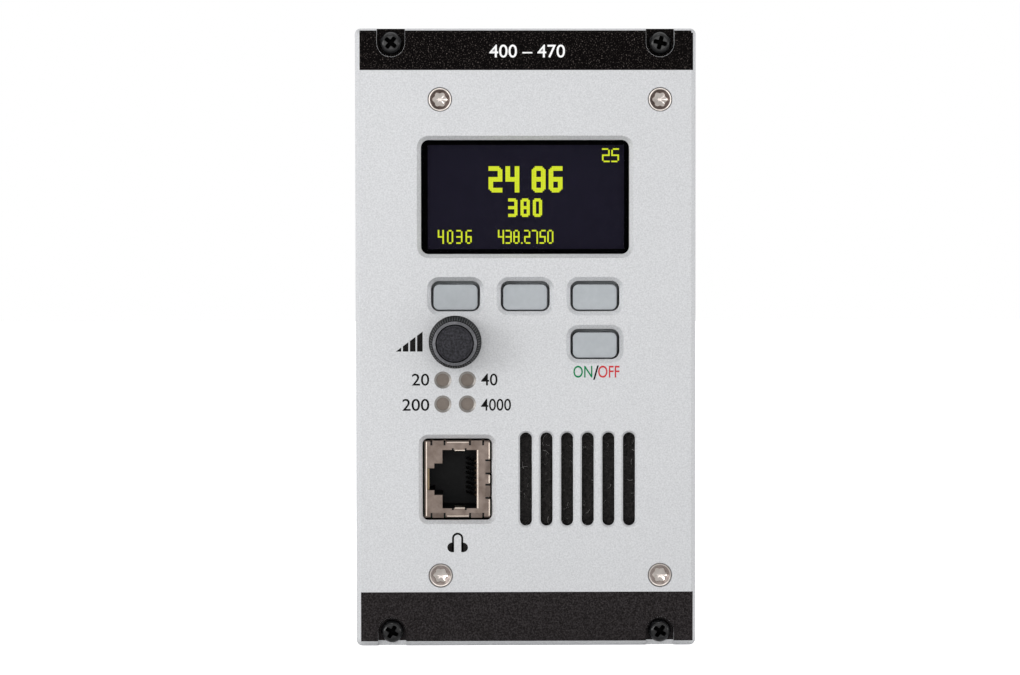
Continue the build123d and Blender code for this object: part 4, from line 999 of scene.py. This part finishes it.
class RECEIVER_OT_print(bpy.types.Operator):
    """Prints the black bands, the figures and the symbols on the panel"""

    bl_idname = "receiver.print"
    bl_label = "Print"

    def execute(self, context):
        looks = context.scene.receiver_looks.print
        self.bands(looks, context.scene.receiver_looks.screws.head)
        self.words(looks)
        self.symbols(looks)
        return {"FINISHED"}

    def bands(self, looks, head):
        low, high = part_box("panel_screws")
        left_x, right_x, screw_z = low.x + head, high.x - head, high.z - head
        flat_right, flat_top = PANEL_HIGH.x - looks.edge, PANEL_HIGH.z - looks.edge
        sides = (
            ("low_band_print", -1, looks.bottom_high, looks.bottom_low, 0, looks.bottom_low),
            ("top_band_print", 1, looks.top_low, flat_top, looks.recess_rim, PANEL_HIGH.z),
        )
        for name, side, inner, outer, rim, edge in sides:
            bm = bmesh.new()
            radius = looks.recess + rim
            points = [(looks.left, inner), (flat_right, inner), (flat_right, outer)]
            for x in (right_x, left_x):
                points += notch(x, side * screw_z, radius, side, outer)
            add_film(bm, [*points, (looks.left, outer)], FRONT, looks.film)
            for x in (right_x, left_x):
                shape = notch(x, side * screw_z, looks.recess, side, edge)
                add_film(bm, shape, FRONT + looks.recess_depth, looks.film)
            over = looks.right - flat_right
            corners = [
                (flat_right, FRONT, inner),
                (looks.right, FRONT + over, inner),
                (looks.right, FRONT + over, outer),
                (flat_right, FRONT, outer),
            ]
            add_slope(bm, corners, Vector((1, -1, 0)).normalized() * looks.film)
            if side > 0:
                self.top_slope(bm, looks, (left_x, right_x), radius, (flat_right, flat_top))
            add_piece(name, mesh_from(bm, name), finish(name))

    def top_slope(self, bm, looks, screws, radius, flat):
        """The part of the upper band that goes over the edge bevel, left open at the screws."""
        over = looks.top_high - flat[1]
        starts = (looks.left, screws[0] + radius, screws[1] + radius)
        ends = (screws[0] - radius, screws[1] - radius, flat[0])
        for start, end in zip(starts, ends):
            corners = [
                (start, FRONT, flat[1]),
                (end, FRONT, flat[1]),
                (end, FRONT + over, looks.top_high),
                (start, FRONT + over, looks.top_high),
            ]
            add_slope(bm, corners, Vector((0, -1, 1)).normalized() * looks.film)

    def words(self, looks):
        skin = FRONT - looks.film
        inks = (
            ("white_figures", "white_print", "white_insulator", WHITE_WORDS, skin),
            ("black_figures", "black_print", "black_plastic", BLACK_WORDS, FRONT),
            ("green_word", "green_print", "black_plastic", GREEN_WORDS, FRONT),
            ("red_word", "red_print", "black_plastic", RED_WORDS, FRONT),
        )
        for name, tone, slot, lines, back in inks:
            meshes = []
            for words, *box in lines:
                box = [edge * MM for edge in box]
                meshes.append(text_mesh(words, *box, back, looks.film, looks.weight))
            add_piece(name, joined(meshes, name), finish(tone))

    def symbols(self, looks):
        outlines = []
        left, base, bar, gap, rise = (size * MM for size in RISING_BARS)
        whole = BAR_COUNT * bar + (BAR_COUNT - 1) * gap
        for index in range(BAR_COUNT):
            start = index * (bar + gap)
            end = start + bar
            points = [(left + start, base), (left + end, base), (left + end, base + rise * end / whole)]
            if start:
                points.append((left + start, base + rise * start / whole))
            outlines.append(points)
        middle, cup_low, arch_z, outer, stroke = (size * MM for size in HEADPHONES)
        cup_radius, cup_inner, cup_flat = (size * MM for size in CUPS)
        hoop = [(middle + outer, cup_low), *arc(middle, arch_z, outer, 0, 180, HOOP_STEPS)]
        hoop += [(middle - outer, cup_low), (middle - outer + stroke, cup_low)]
        hoop += arc(middle, arch_z, outer - stroke, 180, 0, HOOP_STEPS)
        outlines.append([*hoop, (middle + outer - stroke, cup_low)])
        for side in (-1, 1):
            centre = middle + side * (cup_inner + cup_flat)
            cup = arc(centre, cup_low + cup_radius, cup_radius, -90, side * 180 - 90, CUP_STEPS)
            edge = middle + side * cup_inner
            outlines.append([(edge, cup_low), *cup, (edge, cup_low + 2 * cup_radius)])
        mesh = film_mesh("symbols", outlines, FRONT, looks.film)
        add_piece("symbols", mesh, finish("black_print"))


class RECEIVER_OT_display(bpy.types.Operator):
    """Makes the display's black border and its lit figures"""

    bl_idname = "receiver.display"
    bl_label = "Display"

    def execute(self, context):
        looks = context.scene.receiver_looks.display
        low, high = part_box("display_window")
        ledge = DISPLAY_LEDGE - looks.under
        left, right, bottom, top = low.x + ledge, high.x - ledge, low.z + ledge, high.z - ledge
        strips = (
            (left, looks.left, bottom, top),
            (looks.right, right, bottom, top),
            (looks.left, looks.right, bottom, looks.low),
            (looks.left, looks.right, looks.high, top),
        )
        outlines = [oblong(*strip) for strip in strips]
        mesh = film_mesh("display_border", outlines, high.y + looks.film, looks.film)
        add_piece("display_border", mesh, finish("border_black"))
        self.figures(looks)
        return {"FINISHED"}

    def figures(self, looks):
        values = {
            "Base Color": SHADE_COLOUR,
            "Roughness": DOT_ROUGHNESS,
            "Emission Color": screen(DOT_COLOUR),
            "Emission Strength": looks.glow,
        }
        material = new_material("look_lit_dots", values)[0]
        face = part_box("display_glass")[0].y
        places = []
        for words, left, low, width, height, stroke, gap, space in FIGURES:
            column = 0
            for figure in words:
                if figure == " ":
                    column += space - gap
                    continue
                for across, up in figure_dots(figure, width, height, stroke):
                    x = left * MM + (column + across + HALF) * looks.pitch
                    places.append(((x, low * MM + (up + HALF) * looks.pitch), 0))
                column += (stroke if figure == "." else width) + gap
        half = looks.pitch * looks.fill / 2
        shape = film_mesh("dot", [oblong(-half, half, -half, half)], face, looks.film)
        mesh = placed_copies(shape, sorted(places), material)
        add_piece("display_figures", mesh, material)


class RECEIVER_OT_screws(bpy.types.Operator):
    """Makes the black captive screws and the silver screws of the panel"""

    bl_idname = "receiver.screws"
    bl_label = "Screws"

    def execute(self, context):
        looks = context.scene.receiver_looks.screws
        self.black(looks)
        self.silver(looks)
        return {"FINISHED"}

    def black(self, looks):
        low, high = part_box("panel_screws")
        top, seat = low.y, low.y + looks.height
        shoulder = seat - looks.rim
        profile = [(0, high.y), (looks.thread, high.y), (looks.thread, looks.neck_end)]
        profile += [(looks.neck, looks.neck_end), (looks.neck, seat), (looks.head, seat)]
        for step in range(DOME_STEPS + 1):
            part = 1 - step / DOME_STEPS
            radius = looks.crown + (looks.head - looks.crown) * part
            profile.append((radius, top + (shoulder - top) * part * part))
        rim = len(profile)
        profile += [
            (lambda angle: cross_reach(angle, looks.cross, looks.arm), top + CROSS_EDGE),
            (lambda angle: cross_reach(angle, looks.cross, looks.arm) * CROSS_FOOT, top + looks.cross_depth),
            (0, top + looks.cross_depth),
        ]
        shape = turned_mesh("black_screw", profile, looks.sides)
        mark_inner(shape, looks.sides, rim, len(profile) - 1)
        places = zip(corner_places(low, high, looks.head), BLACK_TURNS)
        # The cross recesses take painted shade as their inner material
        mesh = placed_copies(shape, places, finish("black_steel"), finish("recess_painted_shade"))
        add_piece("panel_screw_heads", mesh, None, ["panel_screws"])

    def silver(self, looks):
        low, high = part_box("chassis_screws")
        face = low.y
        cone = looks.silver - looks.thread

        def lobes(part):
            return lambda angle: part * (looks.lobe + looks.lobe_swing * math.cos(LOBES * angle))

        profile = [(0, high.y), (looks.thread, high.y), (looks.thread, face + cone + SILVER_RIM)]
        profile += [(looks.silver, face + SILVER_RIM), (looks.silver - SILVER_RIM, face), (looks.shade, face)]
        rim = len(profile) - 1
        edge = face + looks.dip
        profile += [(lobes(1), edge), (lobes(LOBE_FOOT), edge + looks.lobe_depth * LOBE_STEP)]
        profile.append((0, face + looks.lobe_depth))
        places = corner_places(low, high, looks.silver)
        # The ring inside the rim: painted light on the lower row, painted shade on the upper row
        rows = (
            ("low_screw_heads", places[:2], "screw_ring_painted_light"),
            ("high_screw_heads", places[2:], "screw_shade"),
        )
        for name, row, tone in rows:
            shape = turned_mesh("silver_screw", profile, looks.sides)
            mark_inner(shape, looks.sides, rim, rim + 1)
            mesh = placed_copies(shape, [(place, 0) for place in row], finish("bright_steel"), finish(tone))
            add_piece(name, mesh, None, ["chassis_screws"])


class RECEIVER_OT_knob(bpy.types.Operator):
    """Makes the volume knob with its ribs, its grip with painted shade, its sloping ring with a painted
    highlight and its dished top
    """

    bl_idname = "receiver.knob"
    bl_label = "Knob"

    def execute(self, context):
        looks = context.scene.receiver_looks.knob
        low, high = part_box("volume_knob")
        middle = (low + high) / 2
        base_radius = (high.x - low.x) / 2
        top, base = low.y, high.y
        shoulder, inner = top + looks.shoulder_drop, top + looks.ring_drop
        place = Matrix.Translation((middle.x, 0, middle.z))
        floor = inner + looks.ring_drop
        grip = [
            (0, top + looks.roof),
            (looks.bore, top + looks.roof),
            (looks.bore, base),
            (base_radius, base),
            (looks.shoulder + looks.groove, shoulder + looks.groove),
            (looks.shoulder, shoulder + looks.groove),
            (looks.shoulder, shoulder),
            (looks.ring, inner),
            (looks.ring, floor),
            (0, floor),
        ]
        disc = [
            (0, floor),
            (looks.disc, floor),
            (looks.disc, top + looks.dish_depth),
            (looks.disc - looks.dish_depth, top),
            (looks.dish, top),
            (looks.dish - looks.dish_depth, top + looks.dish_depth),
            (0, top + looks.dish_depth),
        ]
        # The sloping ring: a thin film over the grip's shoulder that carries the painted highlight
        lift = Vector((looks.shoulder_drop - looks.ring_drop, looks.shoulder - looks.ring))
        lift = lift.normalized() * looks.film
        slope = [
            (looks.shoulder, shoulder),
            (looks.ring, inner),
            (looks.ring + lift.x, inner - lift.y),
            (looks.shoulder + lift.x, shoulder - lift.y),
        ]
        turned = (
            ("knob_grip", grip, "knob_grip", False, ["volume_knob"]),
            ("knob_disc", disc, "knob_plastic", False, ()),
            ("knob_ring", slope, "knob_ring", True, ()),
        )
        for name, profile, tone, closed, replaced in turned:
            mesh = turned_mesh(name, profile, looks.sides, closed)
            mesh.transform(place)
            add_piece(name, mesh, finish(tone), replaced, body="knob")
        values = {
            "Count": looks.ribs,
            "Base radius": base_radius - looks.rib,
            "Base": base,
            "Top radius": looks.shoulder + looks.groove - looks.rib / 2,
            "Top": shoulder + looks.groove + looks.rib,
            "Rib radius": looks.rib,
            "Material": finish("knob_ribs"),
        }
        ribs = grown(ribs_group(), values)
        ribs.transform(place)
        soften(ribs)
        add_piece("knob_ribs", ribs, finish("knob_ribs"), body="knob")
        return {"FINISHED"}


class RECEIVER_OT_lamps(bpy.types.Operator):
    """Makes grey collars in the lamp holes' bevels around the indicator lamps: painted shade on the bevels"""

    bl_idname = "receiver.lamps"
    bl_label = "Lamps"

    def execute(self, context):
        looks = context.scene.receiver_looks.lamps
        low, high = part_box("light_pipes")
        ring = [
            (looks.outer, FRONT),
            (looks.inner, FRONT + looks.slope),
            (looks.inner, FRONT + looks.depth),
            (looks.hole, FRONT + looks.depth),
            (looks.hole, FRONT + looks.bevel),
        ]
        shape = turned_mesh("lamp_shade_collar", ring, looks.sides, closed=True)
        places = [(place, 0) for place in corner_places(low, high, looks.flange)]
        mesh = placed_copies(shape, places, finish("lamp_shade_collar"))
        add_piece("lamp_collars", mesh, finish("lamp_shade_collar"))
        return {"FINISHED"}


class RECEIVER_OT_felt(bpy.types.Operator):
    """Makes the felt behind the speaker slots, its fibres and the dust on it"""

    bl_idname = "receiver.felt"
    bl_label = "Felt"

    def execute(self, context):
        looks = context.scene.receiver_looks.felt
        low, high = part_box("speaker_cloth")
        width, height = high.x - low.x, high.z - low.z
        columns, rows = round(width / looks.cell), round(height / looks.cell)
        draw = Random(looks.seed)
        bm = bmesh.new()
        front, back = [], []
        for row in range(rows + 1):
            for column in range(columns + 1):
                x, z = low.x + width * column / columns, low.z + height * row / rows
                front.append(bm.verts.new((x, low.y + looks.nap * draw.random(), z)))
                back.append(bm.verts.new((x, high.y, z)))
        for row in range(rows):
            for column in range(columns):
                corner = row * (columns + 1) + column
                above = corner + columns + 1
                bm.faces.new([front[index] for index in (corner, corner + 1, above + 1, above)])
                bm.faces.new([back[index] for index in (corner, above, above + 1, corner + 1)])
        rim = list(range(columns))
        rim += [columns + row * (columns + 1) for row in range(rows)]
        rim += [(rows + 1) * (columns + 1) - 1 - index for index in range(columns)]
        rim += [(rows - row) * (columns + 1) for row in range(rows)]
        for index, corner in enumerate(rim):
            after = rim[(index + 1) % len(rim)]
            bm.faces.new((front[corner], back[corner], back[after], front[after]))
        mesh = mesh_from(bm, "felt")
        surface = mesh.copy()
        soften(mesh)
        felt = add_piece("felt", mesh, finish("speaker_felt"), ["speaker_cloth"])
        group = fibres_group()
        kinds = (("felt_fibres", looks.fibres, "felt_fibre"), ("felt_dust", looks.specks, "dust"))
        for order, (name, number, tone) in enumerate(kinds):
            values = {
                "Count": number,
                "Length": looks.fibre,
                "Radius": looks.thickness,
                "Seed": looks.seed + order,
                "Material": finish(tone),
            }
            fibres = grown(group, values, front_sheet(surface, low, high, looks))
            add_piece(name, fibres, finish(tone))
        return {"FINISHED"}


class RECEIVER_OT_socket(bpy.types.Operator):
    """Makes the lips, the folded edges and the latch strip of the socket's shield; the lips and edges carry a
    painted highlight
    """

    bl_idname = "receiver.socket"
    bl_label = "Socket"

    def execute(self, context):
        looks = context.scene.receiver_looks.socket
        low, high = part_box("jack_shield")
        middle = (low + high) / 2 + Vector((looks.shift, 0, 0))
        bm = bmesh.new()
        for side in (-1, 1):
            edge = middle.z + side * looks.opening / 2
            inner = edge - side * looks.rise
            corners = [
                (middle.x - looks.lip / 2, low.y, edge),
                (middle.x + looks.lip / 2, low.y, edge),
                (middle.x + looks.lip / 2, low.y + looks.reach, inner),
                (middle.x - looks.lip / 2, low.y + looks.reach, inner),
            ]
            add_slope(bm, corners, Vector((0, 0, -side * looks.sheet)))
        mesh = mesh_from(bm, "shield_lips")
        add_piece("shield_lips", mesh, finish("tin_painted_highlight"))
        self.folds(looks, (low + high) / 2, low.y)
        self.strip(looks, (low + high) / 2, low.y)
        return {"FINISHED"}

    def folds(self, looks, middle, face):
        points, edges = [], []
        for ends in FOLDS:
            edges.append((len(points), len(points) + 1))
            points += [(middle.x + x * MM, face, middle.z + z * MM) for x, z in ends]
        lines = bpy.data.meshes.new("folds")
        lines.from_pydata(points, edges, [])
        tin = finish("tin_painted_highlight")
        mesh = grown(beads_group(), {"Radius": looks.bead, "Material": tin}, lines)
        soften(mesh)
        add_piece("shield_folds", mesh, tin)

    def strip(self, looks, middle, face):
        left, right = middle.x + looks.strip_left, middle.x + looks.strip_right
        low, high = middle.z - looks.strip_height / 2, middle.z + looks.strip_height / 2
        outline = oblong(left, right, low, high)
        mesh = film_mesh("latch_strip", [outline], face + looks.strip_depth, looks.sheet)
        add_piece("latch_strip", mesh, finish("latch_tin"))


class RECEIVER_OT_threads(bpy.types.Operator):
    """Makes the threads of the antenna connector and of the earth stud"""

    bl_idname = "receiver.threads"
    bl_label = "Threads"

    def execute(self, context):
        group = thread_group()
        for node, slot, radius, pitch, reach, gap in THREADS:
            low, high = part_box(node)
            middle = (low + high) / 2
            bead = pitch * THREAD_BEAD_SHARE
            values = {
                "Turns": reach / pitch,
                "Radius": (radius - bead * THREAD_SINK_SHARE) * MM,
                "Length": reach * MM,
                "Bead radius": bead * MM,
                "Material": finish(slot),
            }
            mesh = grown(group, values)
            foot = Vector((middle.x, high.y - gap * MM, middle.z))
            mesh.transform(Matrix.Translation(foot) @ Matrix.Rotation(math.pi / 2, 4, "X"))
            soften(mesh)
            add_piece(node + "_thread", mesh, finish(slot))
        return {"FINISHED"}


class RECEIVER_OT_stage(bpy.types.Operator):
    """Sets the floor, the light and the camera"""

    bl_idname = "receiver.stage"
    bl_label = "Stage"

    def execute(self, context):
        looks = context.scene.receiver_looks.stage
        self.floor()
        self.world(looks)
        self.lights()
        self.camera(context, looks)
        context.scene.view_settings.view_transform = "Standard"
        return {"FINISHED"}

    def floor(self):
        material, shader = new_material("pale_floor", FLOOR)
        tree = material.node_tree
        path = add_node(tree, "ShaderNodeLightPath").outputs
        glow = add_node(tree, "ShaderNodeEmission", {"Strength": path["Is Camera Ray"]}).outputs
        both = add_node(tree, "ShaderNodeAddShader", {0: shader.outputs["BSDF"], 1: glow["Emission"]}).outputs
        set_inputs(tree, tree.nodes["Material Output"], {"Surface": both["Shader"]})
        bm = bmesh.new()
        bmesh.ops.create_grid(bm, x_segments=1, y_segments=1, size=FLOOR_SIZE)
        bmesh.ops.translate(bm, verts=bm.verts, vec=(0, 0, CAD_BOX[0].z - FLOOR_GAP))
        mesh = plain_mesh(bm, "floor")
        mesh.materials.append(material)
        linked("floor", mesh)

    def world(self, looks):
        world = bpy.data.worlds.new("studio")
        world.use_nodes = True
        tree = world.node_tree
        soft = tree.nodes["Background"]
        set_inputs(tree, soft, {"Color": WHITE, "Strength": looks.ambient})
        white = add_node(tree, "ShaderNodeBackground", {"Color": WHITE}).outputs["Background"]
        path = add_node(tree, "ShaderNodeLightPath").outputs
        shares = {"Fac": path["Is Camera Ray"], 1: soft.outputs["Background"], 2: white}
        mix = add_node(tree, "ShaderNodeMixShader", shares).outputs
        set_inputs(tree, tree.nodes["World Output"], {"Surface": mix["Shader"]})
        bpy.context.scene.world = world

    def lights(self):
        for name, place, size, glow in SOFTBOXES:
            lamp = bpy.data.lights.new(name, "AREA")
            lamp.size = size
            lamp.energy = glow * math.pi * size * size
            holder = linked(name, lamp)
            holder.location = place
            holder.rotation_euler = (-Vector(place)).to_track_quat("-Z", "Y").to_euler()

    def camera(self, context, looks):
        camera = bpy.data.cameras.new("camera")
        camera.sensor_width = SENSOR_WIDTH
        camera.lens = looks.focal
        camera.clip_start = CLIP_START
        holder = linked("camera", camera)
        turn = Matrix.Rotation(looks.yaw, 4, "Z") @ Matrix.Rotation(math.pi / 2 + looks.pitch, 4, "X")
        holder.matrix_world = Matrix.Translation(looks.eye) @ turn @ Matrix.Rotation(looks.roll, 4, "Z")
        context.scene.camera = holder


class RECEIVER_PT_looks(bpy.types.Panel):
    bl_label = "Receiver looks"
    bl_idname = "RECEIVER_PT_looks"
    bl_space_type = "VIEW_3D"
    bl_region_type = "UI"
    bl_category = "Receiver"

    def draw(self, context):
        for operator in OPERATORS:
            self.layout.operator(operator.bl_idname)


OPERATORS = (
    RECEIVER_OT_finishes,
    RECEIVER_OT_print,
    RECEIVER_OT_display,
    RECEIVER_OT_screws,
    RECEIVER_OT_knob,
    RECEIVER_OT_lamps,
    RECEIVER_OT_felt,
    RECEIVER_OT_socket,
    RECEIVER_OT_threads,
    RECEIVER_OT_stage,
)
LOOKS = (
    PrintLooks,
    DisplayLooks,
    ScrewLooks,
    KnobLooks,
    LampLooks,
    FeltLooks,
    SocketLooks,
    StageLooks,
    ReceiverLooks,
)
CLASSES = (*LOOKS, *OPERATORS, RECEIVER_PT_looks)


def register():
    for kind in CLASSES:
        bpy.utils.register_class(kind)
    bpy.types.Scene.receiver_looks = PointerProperty(type=ReceiverLooks)


def unregister():
    del bpy.types.Scene.receiver_looks
    for kind in reversed(CLASSES):
        bpy.utils.unregister_class(kind)


def main():
    register()
    bpy.ops.receiver.finishes()
    bpy.ops.receiver.print()
    bpy.ops.receiver.display()
    bpy.ops.receiver.screws()
    bpy.ops.receiver.knob()
    bpy.ops.receiver.lamps()
    bpy.ops.receiver.felt()
    bpy.ops.receiver.socket()
    bpy.ops.receiver.threads()
    bpy.ops.receiver.stage()


if __name__ == "__main__":
    main()
